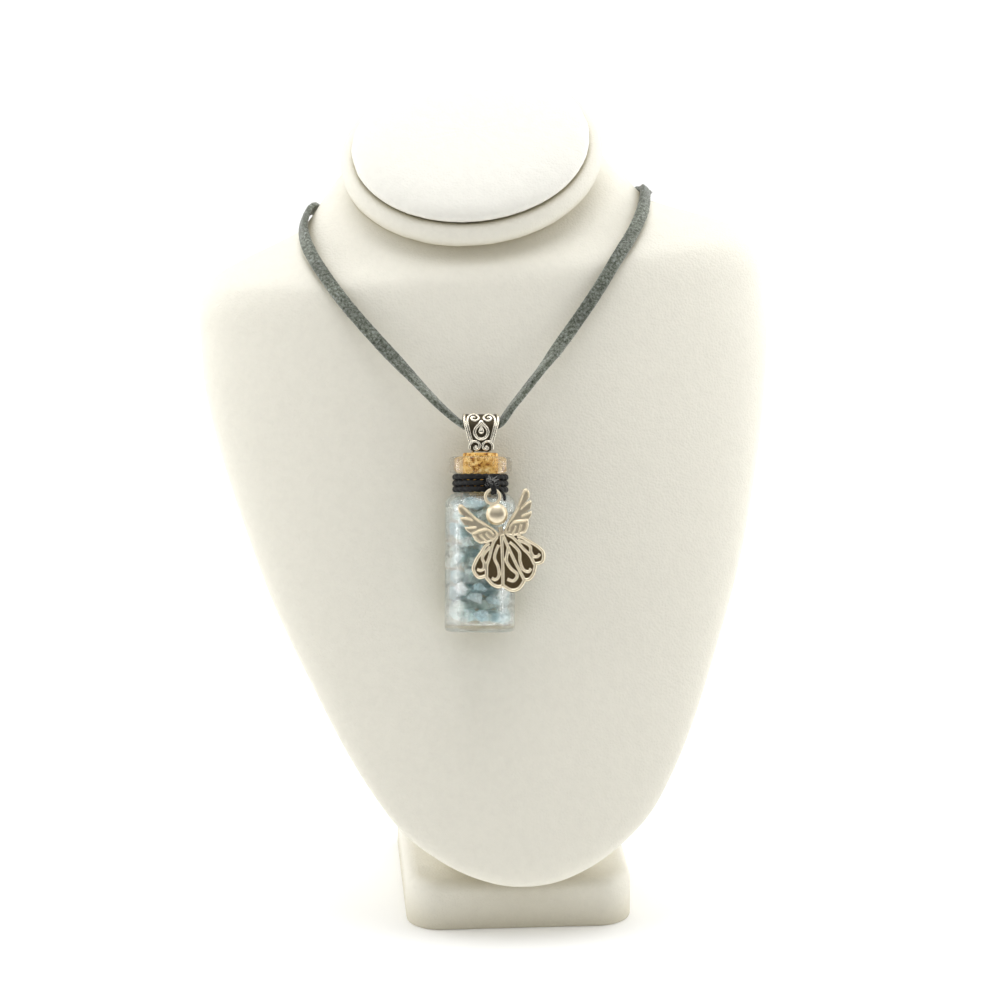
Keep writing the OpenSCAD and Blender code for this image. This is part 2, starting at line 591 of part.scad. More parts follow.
// Flat cord, one loop: from the clasp up behind the bust, over the left shoulder, down the
// chest, through the bail, up to the right shoulder and down again. [x, y, z, face, side],
// where face is the turn of its flat side from the front (0) over upward (90) to the back
// (180), and side is how much that flat side leans to the right or, below 0, to the left.
route = [
    [-7, 33, 65.5, 180, 0], [-12.2, 33, 65.8, 180, 0], [-17, 33, 71, 180, 0],
    [-22.4, 33, 86, 180, 0], [-29, 33, 109, 180, 0], [-34, 33.1, 133, 180, 0],
    [-36.74, 32.99, 147.94, 178, 0], [-38.1, 32.14, 155.99, 169, -0.33],
    [-39.16, 30.09, 159.05, 147, -1], [-40.28, 26.71, 160.38, 128, -1.41],
    [-41.69, 23.22, 159.92, 102, -1.94], [-42.76, 17.1, 157.45, 67, -2.05],
    [-41.62, 9.68, 154.19, 56, -0.66], [-38.5, 1.43, 150.16, 50, -0.28],
    [-33.29, -5.84, 144.13, 28, 0], [-26.53, -11.93, 137.18, 24, 0],
    [-19.42, -16.79, 130.23, 84, 0], [-13.05, -20.41, 123.97, 98, 0],
    [-7.65, -22.55, 119.65, 104, 0], [-3.6, -22.95, 118.45, 108, 0],
    [0.54, -22.6, 119.5, 106, 0], [3.52, -20.87, 122.92, 106, 0],
    [7.38, -18.43, 127.06, 104, 0], [12.18, -15.35, 132.23, 96, 0],
    [17.79, -11.74, 138.71, 40, 0], [23.86, -7.5, 146.12, 20, 0], [29.41, -2.21, 153.38, 34, 0],
    [33.77, 4.69, 157.99, 55, 0.15], [36.6, 11.2, 161.45, 54, 0.58],
    [37.94, 16.79, 163.83, 62, 1.18], [38.47, 21.79, 164.67, 83, 1.29],
    [38.89, 25.72, 163.65, 111, 0.52], [37.24, 30.54, 161.96, 146, 0.31],
    [35.22, 33.25, 154.49, 174, 0], [32.53, 33.67, 140.3, 180, 0], [28.6, 33.2, 120.5, 180, 0],
    [22.6, 33, 97, 180, 0], [15.6, 33, 74, 180, 0], [10.4, 33, 65.9, 180, 0],
    [5, 33, 65.5, 180, 0]];
cord_way = smooth(route, 2);
cord_profile = [[0.5, 0.3], [0.38, 0.5], [-0.38, 0.5], [-0.5, 0.3], [-0.5, -0.3],
    [-0.38, -0.5], [0.38, -0.5], [0.5, -0.3]];
function at(i) = [cord_way[i][0], cord_way[i][1], cord_way[i][2]];
function unit(v) = v / norm(v);
function cord_ring(i) =
    let (t = unit(at(min(i + 1, len(cord_way) - 1)) - at(max(i - 1, 0))), face = cord_way[i][3],
        f = [cord_way[i][4], -cos(face), sin(face)], n = unit(f - (f * t) * t), b = cross(t, n))
    [for (p = cord_profile) at(i) + p[0] * cord_w * b + p[1] * cord_t * n];
module necklace_cord() color("dimgray")
    polyhedron([for (i = [0:len(cord_way) - 1]) each cord_ring(i)],
        ring_faces(len(cord_profile), len(cord_way)));

// Plain barrel clasp on the cord's ends
clasp_mid = [(route[0][0] + route[len(route) - 1][0]) / 2, route[0][1], route[0][2]];
clasp_grip = 2.4;
module clasp() color("silver") translate(clasp_mid) difference() {
    rotate([0, 90, 0]) cylinder(d = clasp_d, h = clasp_len, center = true, $fn = small_fn);
    for (x = [-1, 1]) translate([x * clasp_len / 2, 0, 0])
        cube([2 * clasp_grip + 0.6, cord_t + 0.5, cord_w + 0.5], center = true);
}

bust_form();
neck_roll();
top_pad();
bust_foot();
necklace_cord();
clasp();
bail();
screw_eye();
cork();
bottle();
crystal_chips();
neck_thread();
angel_charm();
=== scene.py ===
import math
import random

import bpy
import bmesh
from mathutils import Matrix, Vector, noise


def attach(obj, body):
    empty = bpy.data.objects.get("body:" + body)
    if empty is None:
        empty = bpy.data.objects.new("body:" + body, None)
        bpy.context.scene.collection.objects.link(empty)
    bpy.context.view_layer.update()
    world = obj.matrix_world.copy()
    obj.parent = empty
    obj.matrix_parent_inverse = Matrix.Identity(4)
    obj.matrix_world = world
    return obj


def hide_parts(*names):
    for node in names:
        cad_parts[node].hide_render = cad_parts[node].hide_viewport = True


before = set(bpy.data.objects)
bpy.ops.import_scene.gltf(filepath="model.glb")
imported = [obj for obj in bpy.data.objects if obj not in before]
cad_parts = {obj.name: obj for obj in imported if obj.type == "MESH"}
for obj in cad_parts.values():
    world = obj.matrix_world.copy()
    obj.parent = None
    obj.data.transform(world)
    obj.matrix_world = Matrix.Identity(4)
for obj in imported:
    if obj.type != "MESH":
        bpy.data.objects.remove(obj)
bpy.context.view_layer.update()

bpy.ops.object.select_all(action="DESELECT")

# Camera: in front of the bust, a little to its right and above, with a long lens.
camera_turn, camera_rise = math.radians(-4.0), math.radians(16.0)
camera_reach = 0.85
camera_back = Vector((math.sin(camera_turn) * math.cos(camera_rise),
                      -math.cos(camera_turn) * math.cos(camera_rise), math.sin(camera_rise)))
camera_side = Vector((math.cos(camera_turn), math.sin(camera_turn), 0.0))
camera_axes = Matrix((camera_side, camera_back.cross(camera_side), camera_back)).transposed()
bpy.ops.object.camera_add(location=Vector((0.0009, -0.022, 0.1015)) + camera_reach * camera_back,
                          rotation=camera_axes.to_euler())
camera = bpy.context.object
camera.name = "camera"
camera.data.sensor_width = 36.0
camera.data.lens = 133.04
camera.data.clip_start, camera.data.clip_end = 0.05, 20.0
bpy.context.scene.camera = camera
bpy.context.scene.view_settings.view_transform = "Standard"


# Necklace cord: flat suede lace, 3 by 1.5 mm, one length of 389 mm, its ends in the clasp.
# It lies on edge over the shoulders, flat on the chest, and goes folded through the bail.
def new_finish(name):
    finish = bpy.data.materials.new(name)
    finish.use_nodes = True
    tree = finish.node_tree
    return finish, tree, tree.nodes["Principled BSDF"]


def put(tree, node, sockets):
    """Links each named socket of a node to an output, or sets it to a constant."""
    for key, value in sockets.items():
        socket = node.inputs[key]
        if isinstance(value, bpy.types.NodeSocket):
            tree.links.new(value, socket)
        elif isinstance(value, tuple) and socket.type == "RGBA":
            socket.default_value = (*value, 1.0)
        else:
            socket.default_value = value


def node_of(tree, kind, sockets, **settings):
    node = tree.nodes.new("ShaderNode" + kind)
    for key, value in settings.items():
        setattr(node, key, value)
    put(tree, node, sockets)
    return node


def place_of(tree):
    return tree.nodes.new("ShaderNodeTexCoord").outputs["Object"]


def grain(tree, place, scale, detail=3.0, rough=0.55, stretch=None):
    if stretch:
        place = node_of(tree, "Mapping", {"Vector": place, "Scale": stretch}).outputs[0]
    return node_of(tree, "TexNoise", {"Vector": place, "Scale": scale, "Detail": detail,
                                      "Roughness": rough}).outputs[0]


def shades(tree, factor, stops):
    """A ramp of colours, or of greys where a stop is one number."""
    ramp = node_of(tree, "ValToRGB", {0: factor})
    marks = ramp.color_ramp.elements
    while len(marks) < len(stops):
        marks.new(0.5)
    for mark, (place, colour) in zip(marks, stops):
        mark.position = place
        mark.color = (*colour, 1.0) if isinstance(colour, tuple) else (colour, colour, colour, 1.0)
    return ramp.outputs[0]


def blend_of(tree, factor, one, two, way="MIX"):
    mix = node_of(tree, "Mix", {}, data_type="RGBA", blend_type=way)
    put(tree, mix, {0: factor, 6: one, 7: two})
    return mix.outputs[2]


def times(tree, one, two):
    return blend_of(tree, 1.0, one, two, "MULTIPLY")


def relief_of(tree, height, strength, distance, **below):
    return node_of(tree, "Bump", {"Height": height, "Strength": strength, "Distance": distance,
                                  **below}).outputs[0]


suede, tree, shader = new_finish("suede_charcoal")
place = place_of(tree)
nap = grain(tree, place, 1700.0, 4.0, 0.7)
brushed = grain(tree, place, 120.0, 2.0)
speckled = shades(tree, nap, [(0.33, (0.030, 0.036, 0.024)), (0.45, (0.105, 0.118, 0.085)),
                              (0.58, (0.235, 0.255, 0.215)), (0.72, (0.40, 0.44, 0.43))])
worn = shades(tree, brushed, [(0.35, 0.62), (0.65, 1.0)])
put(tree, shader, {"Base Color": times(tree, speckled, worn), "Roughness": 0.95,
                   "Normal": relief_of(tree, nap, 0.7, 0.0002), "Specular IOR Level": 0.15,
                   "Sheen Weight": 0.35, "Sheen Roughness": 0.6})

cord_wide, cord_thick, lace_round = 0.003, 0.0015, 20
fray_count, fray_thick, fray_first, fray_last = 320, 0.00003, 170, 640
# Each row of the route: x, y and z in mm, the way that the flat side faces in degrees, and how
# much it also faces sideways
route = [
    (-7, 33, 65.5, 180, 0), (-12.2, 33, 65.8, 180, 0), (-17, 33, 71, 180, 0),
    (-22.4, 33, 86, 180, 0), (-29, 33, 109, 180, 0), (-34, 33.1, 133, 180, 0),
    (-36.74, 32.99, 147.94, 178, 0), (-38.1, 32.14, 155.99, 169, -0.33),
    (-39.16, 30.09, 159.05, 147, -1), (-40.28, 26.71, 160.38, 128, -1.41),
    (-41.69, 23.22, 159.92, 102, -1.94), (-42.76, 17.1, 157.45, 67, -2.05),
    (-41.62, 9.68, 154.19, 56, -0.66), (-38.5, 1.43, 150.16, 50, -0.28),
    (-33.29, -5.84, 144.13, 28, 0), (-26.53, -11.93, 137.18, 24, 0),
    (-19.42, -16.79, 130.23, 84, 0), (-13.05, -20.41, 123.97, 98, 0),
    (-7.65, -22.55, 119.65, 104, 0), (-3.6, -22.95, 118.45, 108, 0), (0.54, -22.6, 119.5, 106, 0),
    (3.52, -20.87, 122.92, 106, 0), (7.38, -18.43, 127.06, 104, 0),
    (12.18, -15.35, 132.23, 96, 0), (17.79, -11.74, 138.71, 40, 0), (23.86, -7.5, 146.12, 20, 0),
    (29.41, -2.21, 153.38, 34, 0), (33.77, 4.69, 157.99, 55, 0.15),
    (36.6, 11.2, 161.45, 54, 0.58), (37.94, 16.79, 163.83, 62, 1.18),
    (38.47, 21.79, 164.67, 83, 1.29), (38.89, 25.72, 163.65, 111, 0.52),
    (37.24, 30.54, 161.96, 146, 0.31), (35.22, 33.25, 154.49, 174, 0),
    (32.53, 33.67, 140.3, 180, 0), (28.6, 33.2, 120.5, 180, 0), (22.6, 33, 97, 180, 0),
    (15.6, 33, 74, 180, 0), (10.4, 33, 65.9, 180, 0), (5, 33, 65.5, 180, 0)]


def smooth_table(rows, steps):
    """Rows on a smooth curve through the given rows, with so many steps from each to the next."""
    made = []
    for k in range(len(rows) - 1):
        near = [rows[max(k - 1, 0)], rows[k], rows[k + 1], rows[min(k + 2, len(rows) - 1)]]
        for j in range(steps):
            t = j / steps
            made.append([0.5 * (2 * b + (c - a) * t + (2 * a - 5 * b + 4 * c - d) * t * t
                                + (3 * b - a - 3 * c + d) * t ** 3)
                         for a, b, c, d in zip(*near)])
    return made + [list(rows[-1])]


def keep_mesh(name, points, faces):
    mesh = bpy.data.meshes.new(name)
    mesh.from_pydata([tuple(p) for p in points], [], faces)
    mesh.update()
    piece = bpy.data.objects.new(name, mesh)
    bpy.context.collection.objects.link(piece)
    return piece


def ring_skin(rings, count, open_ends=False):
    faces = [(j * count + i, j * count + (i + 1) % count,
              (j + 1) * count + (i + 1) % count, (j + 1) * count + i)
             for j in range(rings - 1) for i in range(count)]
    if not open_ends:
        faces += [tuple(range(count - 1, -1, -1)),
                  tuple((rings - 1) * count + i for i in range(count))]
    return faces


def outward(piece):
    made = bmesh.new()
    made.from_mesh(piece.data)
    bmesh.ops.remove_doubles(made, verts=made.verts, dist=1e-7)
    bmesh.ops.recalc_face_normals(made, faces=made.faces)
    if made.calc_volume(signed=True) < 0:
        bmesh.ops.reverse_faces(made, faces=made.faces)
    made.to_mesh(piece.data)
    made.free()


def pick(*pieces):
    bpy.ops.object.select_all(action="DESELECT")
    for piece in pieces:
        piece.select_set(True)
    bpy.context.view_layer.objects.active = pieces[0]


def soften(piece, angle=180.0):
    pick(piece)
    if angle >= 180.0:
        bpy.ops.object.shade_smooth()
    else:
        bpy.ops.object.shade_smooth_by_angle(angle=math.radians(angle))
    piece.select_set(False)


lace_way = smooth_table(route, 20)
lace_points, lace_frames = [], []
for i, row in enumerate(lace_way):
    at = Vector(row[:3]) / 1000
    before, after = lace_way[max(i - 1, 0)], lace_way[min(i + 1, len(lace_way) - 1)]
    along = (Vector(after[:3]) - Vector(before[:3])).normalized()
    face = math.radians(row[3])
    flat = Vector((row[4], -math.cos(face), math.sin(face)))
    flat = (flat - flat.dot(along) * along).normalized()
    across = along.cross(flat)
    lace_frames.append((at, along, across, flat))
    for k in range(lace_round):
        a = 2 * math.pi * k / lace_round
        c, s = math.cos(a), math.sin(a)
        u = math.copysign(abs(c) ** 0.5, c) * cord_wide / 2
        v = math.copysign(abs(s) ** 0.55, s) * cord_thick / 2
        p = at + u * across + v * flat
        fuzz = noise.noise(p * 2600) * 0.00007 + noise.noise(p * 900) * 0.00005
        lace_points.append(p + fuzz * (u * across + v * flat).normalized())
lace_faces = ring_skin(len(lace_way), lace_round)
fray = random.Random(3)
for k in range(fray_count):
    at, along, across, flat = lace_frames[fray.randrange(fray_first, fray_last)]
    edge = fray.choice((-1, 1))
    root = at + edge * 0.48 * cord_wide * across + fray.uniform(-0.4, 0.4) * cord_thick * flat
    lean = (edge * fray.uniform(0.2, 1.0) * across + fray.uniform(-1, 1) * along
            + fray.uniform(-0.4, 0.6) * flat).normalized()
    side = lean.orthogonal().normalized()
    first = len(lace_points)
    lace_points += [root + fray_thick * (side * math.cos(a) + lean.cross(side) * math.sin(a))
                    for a in (0, 2.09, 4.19)] + [root + fray.uniform(0.0002, 0.0007) * lean]
    lace_faces += [(first + 2, first + 1, first), (first, first + 1, first + 3),
                   (first + 1, first + 2, first + 3), (first + 2, first, first + 3)]
necklace_cord = keep_mesh("necklace_lace", lace_points, lace_faces)
outward(necklace_cord)
soften(necklace_cord)
necklace_cord.data.materials.append(suede)
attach(necklace_cord, "bust")
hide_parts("necklace_cord")


# Bust form: a moulded chest and shoulders, padded and covered in white pebbled leatherette,
# with a flat back. It reclines on the foot's post and leans a little to one side.
# The shade where the leatherette meets other pieces is painted: an occlusion mask darkens and warms
# its colour within 16 mm of them.
pebble_scale, painted_shade_reach, painted_shade_tint = 2000.0, 0.016, (0.68, 0.64, 0.53)


def pebbled(name, tint, bump=0.32):
    """White leatherette: pebbled, a little creased, with warm painted shade where pieces meet."""
    finish, tree, shader = new_finish(name)
    place = place_of(tree)
    pebble = node_of(tree, "TexVoronoi", {"Vector": place, "Scale": pebble_scale,
                                          "Smoothness": 0.6, "Randomness": 1.0},
                     feature="SMOOTH_F1")
    crease = grain(tree, place, 520.0, 4.0, 0.62)
    cloudy = grain(tree, place, 9.0, 2.0, 0.5)
    low = relief_of(tree, crease, bump * 0.35, 0.0004)
    darker = tuple(0.98 * c for c in tint)
    tone = shades(tree, cloudy, [(0.3, darker), (0.7, tint)])
    # Painted shade: the colour is up to 3% darker where the crease relief is low.
    pit = shades(tree, crease, [(0.3, 0.97), (0.6, 1.0)])
    # Painted shade: near other surfaces the colour turns darker and warmer.
    shade = node_of(tree, "AmbientOcclusion", {"Distance": painted_shade_reach}, samples=8)
    painted_contact_shade = shades(tree, shade.outputs["AO"], [(0.15, painted_shade_tint), (0.85, 1.0)])
    put(tree, shader, {
        "Base Color": times(tree, times(tree, tone, pit), painted_contact_shade), "Roughness": 0.56,
        "Normal": relief_of(tree, pebble.outputs[0], bump * 1.3, 0.0002, Normal=low),
        "Specular IOR Level": 0.35})
    return finish


leatherette = pebbled("leatherette_white", (0.835, 0.808, 0.715))


def turned(angle, axis):
    return Matrix.Rotation(math.radians(angle), 4, axis)


form_len, form_w, form_t, form_round = 0.190, 0.134, 0.036, 132
on_form = (Matrix.Translation((0.008, 0, 0)) @ turned(-3.6, "Y")
           @ Matrix.Translation((0, -0.046, 0.0152)) @ turned(-17, "X"))
on_neck = (on_form @ Matrix.Translation((0, 0.417 * form_t, 0.912 * form_len))
           @ turned(-3, "Y") @ turned(51.4, "X"))
# Each row, as shares of the form's sizes: height and depth of its front, height and depth of
# its back, width, where between front and back it is widest, and how round its back is
sections = [
    (0.000, 0.139, 0.000, 0.150, 0.010, 0.50, 1.0),
    (0.002, 0.095, 0.002, 0.180, 0.070, 0.50, 1.0),
    (0.008, 0.062, 0.008, 0.215, 0.138, 0.50, 1.0),
    (0.021, 0.030, 0.021, 0.255, 0.225, 0.48, 0.9),
    (0.042, 0.010, 0.042, 0.295, 0.318, 0.46, 0.8),
    (0.074, 0.000, 0.074, 0.325, 0.421, 0.46, 0.7),
    (0.116, 0.000, 0.116, 0.360, 0.505, 0.48, 0.6),
    (0.179, 0.000, 0.179, 0.415, 0.600, 0.52, 0.6),
    (0.263, 0.000, 0.263, 0.490, 0.701, 0.57, 0.6),
    (0.368, 0.000, 0.368, 0.578, 0.815, 0.62, 0.6),
    (0.474, 0.000, 0.474, 0.667, 0.900, 0.65, 0.6),
    (0.568, 0.000, 0.568, 0.750, 0.962, 0.68, 0.6),
    (0.642, 0.000, 0.645, 0.806, 0.995, 0.70, 0.6),
    (0.690, 0.000, 0.705, 0.850, 0.998, 0.70, 0.6),
    (0.716, 0.000, 0.755, 0.889, 0.996, 0.68, 0.6),
    (0.732, 0.000, 0.798, 0.917, 0.945, 0.64, 0.6),
    (0.743, 0.006, 0.821, 0.935, 0.858, 0.58, 0.65),
    (0.752, 0.020, 0.855, 0.950, 0.676, 0.49, 0.7),
    (0.760, 0.045, 0.883, 0.965, 0.604, 0.51, 0.8),
    (0.768, 0.080, 0.935, 0.976, 0.525, 0.50, 0.9),
    (0.775, 0.105, 0.963, 0.985, 0.470, 0.50, 1.0),
    (0.781, 0.118, 0.992, 0.993, 0.441, 0.50, 1.0),
    (0.790, 0.130, 1.020, 1.000, 0.430, 0.50, 1.0)]


def cut_off(piece, at, up):
    """Cuts away what lies over a plane and closes the cut."""
    shape = bmesh.new()
    shape.from_mesh(piece.data)
    bmesh.ops.bisect_plane(shape, geom=shape.verts[:] + shape.edges[:] + shape.faces[:],
                           plane_co=at, plane_no=up, clear_outer=True)
    bmesh.ops.holes_fill(shape, edges=[e for e in shape.edges if e.is_boundary])
    shape.to_mesh(piece.data)
    shape.free()
    outward(piece)


form_points = []
form_rows = smooth_table(sections, 5)
for up_f, in_f, up_b, in_b, half, widest, back_shape in form_rows:
    front = Vector((up_f * form_len, in_f * form_t))
    back = Vector((up_b * form_len, in_b * form_t))
    wide = front + widest * (back - front)
    slant = math.tan(math.radians(0.9 * min(1, max(0, (up_f - 0.45) / 0.25))))
    for i in range(form_round):
        a = 2 * math.pi * i / form_round
        c, s = math.cos(a), math.sin(a)
        power = 1 if s >= -1e-9 else back_shape
        u = half * form_w / 2 * math.copysign(abs(c) ** power, c)
        p = wide + abs(s) ** power * ((front if s >= 0 else back) - wide)
        form_points.append(on_form @ Vector((u, p.y, p.x + u * slant)))
bust_form = keep_mesh("chest_form", form_points, ring_skin(len(form_rows), form_round))
cut_off(bust_form, on_neck @ Vector((0, 0, -0.0064)), on_neck.to_3x3() @ Vector((0, 0, 1)))
soften(bust_form, 42)
bust_form.data.materials.append(leatherette)
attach(bust_form, "bust")
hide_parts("bust_form")


# Neck rim: leatherette wrapped over a soft roll round a flat disc, so the roll stands
# a little above the disc and its lower side has small gathers.
def revolved(name, profile, steps, wobble=lambda r, z, a: (r, z), oval=1.0, stand=Matrix()):
    """Turns a profile, which starts and ends on the axis, into a closed piece."""
    inner = profile[1:-1]
    points = []
    for r, z in inner:
        for i in range(steps):
            a = 2 * math.pi * i / steps
            rr, zz = wobble(r, z, a)
            points.append(Vector((rr * math.cos(a), rr * math.sin(a) * oval, zz)))
    faces = ring_skin(len(inner), steps, open_ends=True)
    for ring, tip in ((0, profile[0]), (len(inner) - 1, profile[-1])):
        faces += [(ring * steps + i, ring * steps + (i + 1) % steps, len(points))
                  for i in range(steps)]
        points.append(Vector((0, 0, tip[1])))
    piece = keep_mesh(name, [stand @ p for p in points], faces)
    outward(piece)
    return piece


def arc_of(centre, radius, start, stop, steps):
    turns = [math.radians(start + (stop - start) * i / steps) for i in range(steps + 1)]
    return [(centre[0] + radius * math.cos(a), centre[1] + radius * math.sin(a)) for a in turns]


roll_r, roll_out, disc_r, neck_oval = 0.003, 0.031, 0.024, 50 / 56
roll_mid = (roll_out - roll_r, -0.0032)
neck_steps = 220


def gathered(r, z, a):
    if r < disc_r:
        return r, z
    swell = 1 + 0.035 * noise.noise(Vector((math.cos(a) * 5.0, math.sin(a) * 5.0, 0.0)))
    tuck = max(0.0, -(z - roll_mid[1]) / roll_r)
    fine = 0.030 * tuck * noise.noise(Vector((math.cos(a) * 24, math.sin(a) * 24, 1.7)))
    grow = swell + fine - 0.02
    return (roll_mid[0] + (r - roll_mid[0]) * grow, roll_mid[1] + (z - roll_mid[1]) * grow)


roll_profile = ([(0, roll_mid[1] - 0.0028), (0.012, roll_mid[1] - 0.0028),
                 (0.022, roll_mid[1] - 0.0028)]
                + arc_of(roll_mid, roll_r, -105, 128, 26)
                + [(0.0252, roll_mid[1] + 0.0019), (0.022, roll_mid[1] + 0.0022),
                   (0.012, roll_mid[1] + 0.0024), (0, roll_mid[1] + 0.0024)])
neck_rim = revolved("neck_rim", roll_profile, neck_steps, gathered, neck_oval, on_neck)
soften(neck_rim)
neck_rim.data.materials.append(leatherette)
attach(neck_rim, "bust")
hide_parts("neck_roll")

# Top pad: an oval of foam under the same leatherette, glued on the disc, crowned in the
# middle and tucked under at its edge. Its colour is lighter and cooler than on the roll and
# the form: painted light on its top face.
pad_out, pad_low, pad_rise, pad_tuck = 0.028, 0.0013, 0.0043, 0.0011
pad_profile = ([(0, 0.0003), (0.02, 0.0003), (0.0255, 0.0002)]
               + arc_of((pad_out - pad_tuck, pad_low), pad_tuck, -90, -10, 5)
               + [(pad_out * k, pad_low + pad_rise * (1 - k ** 2.6) ** 0.45)
                  for k in (1, 0.9988, 0.996, 0.991, 0.982, 0.968, 0.946, 0.918, 0.879, 0.829,
                            0.768, 0.696, 0.607, 0.5, 0.393, 0.286, 0.179, 0.09, 0)])


def stuffed(r, z, a):
    rim = max(0.0, (r - 0.0225) / 0.0055)
    lump = 0.00016 * noise.noise(Vector((math.cos(a) * 6, math.sin(a) * 6, r * 300)))
    tuck = 0.0001 * rim * noise.noise(Vector((math.cos(a) * 30, math.sin(a) * 30, 3.0)))
    if z < 0.0006:
        return r + tuck, z
    return r + rim * lump + tuck - 0.00006 * rim, z + lump * 0.6


# Painted light: the pad's leatherette tint is lighter and less warm than the rest.
pad_leather_painted_light = pebbled("leatherette_pad_painted_light", (0.87, 0.855, 0.79), 0.28)
top_pad = revolved("neck_pad", pad_profile, neck_steps, stuffed, neck_oval, on_neck)
soften(top_pad)
top_pad.data.materials.append(pad_leather_painted_light)
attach(top_pad, "bust")
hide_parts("top_pad")

# Foot: a weighted block with rounded corners under the same leatherette, and the wedge post
# behind the form, in one piece with it, which the form's flat back is fixed to.
foot_w, foot_d, foot_h, foot_corner, foot_round = 0.053, 0.064, 0.012, 0.008, 0.003
foot_x, foot_front = 0.005, -0.0332
post_w, post_reach, post_corner, post_front_corner = 0.034, 0.078, 0.0012, 0.0045
bpy.ops.mesh.primitive_cube_add(size=1, location=(foot_x, foot_front + foot_d / 2, foot_h / 2),
                                scale=(foot_w, foot_d, foot_h))
bust_foot = bpy.context.object
bust_foot.name = bust_foot.data.name = "foot_block"
bpy.ops.object.transform_apply(location=True, rotation=True, scale=True)


def round_edges(piece, chosen, radius, segments):
    shape = bmesh.new()
    shape.from_mesh(piece.data)
    edges = [e for e in shape.edges if chosen(e)]
    bmesh.ops.bevel(shape, geom=edges, offset=radius, offset_type="OFFSET", segments=segments,
                    profile=0.5, affect="EDGES", clamp_overlap=False)
    shape.to_mesh(piece.data)
    shape.free()


round_edges(bust_foot, lambda e: abs(e.verts[0].co.z - e.verts[1].co.z) > 0.01, foot_corner, 10)
round_edges(bust_foot, lambda e: all(v.co.z > foot_h - 1e-5 for v in e.verts)
            and any(abs(f.normal.z) < 0.5 for f in e.link_faces), foot_round, 6)
round_edges(bust_foot, lambda e: all(v.co.z < 1e-5 for v in e.verts)
            and any(abs(f.normal.z) < 0.5 for f in e.link_faces), 0.0006, 2)
post_front, post_low = foot_front + foot_corner, foot_h - 0.001
low_row, high_row = sections[6], sections[11]
back_lean = -math.atan2((high_row[3] - low_row[3]) * form_t, (high_row[2] - low_row[2]) * form_len)
form_normal = ((on_form.to_3x3() @ turned(math.degrees(back_lean), "X").to_3x3())
               @ Vector((0, -1, 0)))
back_point = on_form @ Vector((0, low_row[3] * form_t + 0.0002, low_row[2] * form_len))
post_side = [(post_front, post_low), (post_front + 0.7 * foot_d, post_low),
             (post_front + foot_d / 2, post_low + post_reach),
             (post_front, post_low + post_reach)]
post = keep_mesh("post", [(foot_x + x * post_w / 2, y, z) for x in (-1, 1) for y, z in post_side],
                 ring_skin(2, 4))
cut_off(post, back_point, form_normal)
round_edges(post, lambda e: abs(e.verts[0].co.x - e.verts[1].co.x) < 1e-6
            and min(v.co.z for v in e.verts) < 0.09 and e.calc_length() > 0.02
            and e.verts[0].co.y > foot_front + 0.02, post_corner, 3)
round_edges(post, lambda e: abs(e.verts[0].co.x - e.verts[1].co.x) < 1e-6
            and max(v.co.y for v in e.verts) < post_front + 0.0001, post_front_corner, 4)


def take_modifier(piece, kind, **settings):
    pick(piece)
    modifier = piece.modifiers.new(kind.lower(), kind)
    for key, value in settings.items():
        setattr(modifier, key, value)
    bpy.ops.object.modifier_apply(modifier=modifier.name)
    piece.select_set(False)


take_modifier(bust_foot, "BOOLEAN", operation="UNION", solver="EXACT", object=post)
bpy.data.objects.remove(post)
soften(bust_foot, 38)
bust_foot.data.materials.append(leatherette)
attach(bust_foot, "bust")
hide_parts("bust_foot")


# Clasp: a plain turned barrel on the cord's ends, behind the bust, with rolled rims, two
# grooves and a bore at each end that the cord is glued into.
steel, tree, shader = new_finish("steel_plated")
scratch = grain(tree, place_of(tree), 900.0, 3.0, 0.6, (1.0, 1.0, 0.15))
put(tree, shader, {
    "Base Color": shades(tree, scratch, [(0.3, (0.50, 0.49, 0.46)), (0.7, (0.74, 0.73, 0.70))]),
    "Roughness": shades(tree, scratch, [(0.3, 0.34), (0.7, 0.22)]), "Metallic": 1.0})

clasp_half, clasp_out, clasp_bore, clasp_deep = 0.008, 0.0025, 0.00172, 0.0028
barrel = [(0, clasp_deep - clasp_half), (clasp_bore - 0.0002, clasp_deep - clasp_half),
          (clasp_bore, clasp_deep - clasp_half - 0.0002), (clasp_bore, 0.0002 - clasp_half),
          (clasp_bore + 0.0002, -clasp_half), (clasp_out - 0.0003, -clasp_half),
          (clasp_out, 0.0003 - clasp_half), (clasp_out, 0.0010 - clasp_half),
          (clasp_out - 0.0003, 0.0013 - clasp_half), (clasp_out - 0.00035, -0.0009),
          (clasp_out - 0.00005, -0.0006), (clasp_out, -0.0002)]
barrel = barrel + [(r, -z) for r, z in reversed(barrel)]
clasp_stand = Matrix.Translation((-0.001, 0.033, 0.0655)) @ turned(90, "Y")
clasp = revolved("clasp_barrel", barrel, 56, stand=clasp_stand)
soften(clasp, 35)
clasp.data.materials.append(steel)
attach(clasp, "bust")
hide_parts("clasp")

# Bail: one casting in darkened silver, a strap bent over the cord. Its front carries a rail
# on each side that runs into a scroll, a teardrop round a bead, and two scrolls at its foot.
pendant_side, hinge_up, hinge_off = -0.0041, 0.56 * form_len, 0.0083
on_pendant = (on_form @ Matrix.Translation((pendant_side, -hinge_off, hinge_up))
              @ turned(4.9, "Y"))
MM = 0.001
bail_r, bail_t, bail_drop, bail_foot_w, bail_w, bar_w = 2.4, 0.8, 5.4, 5.6, 8.2, 1.2
bar_z = -bail_drop + 1.5
turn_r = bail_r + bail_t
ridge_sink, ridge_steps, bail_cell, bail_rounds = 0.02, 6, 0.067, 2


def marked(tree, name):
    return node_of(tree, "Attribute", {}, attribute_name=name).outputs["Fac"]


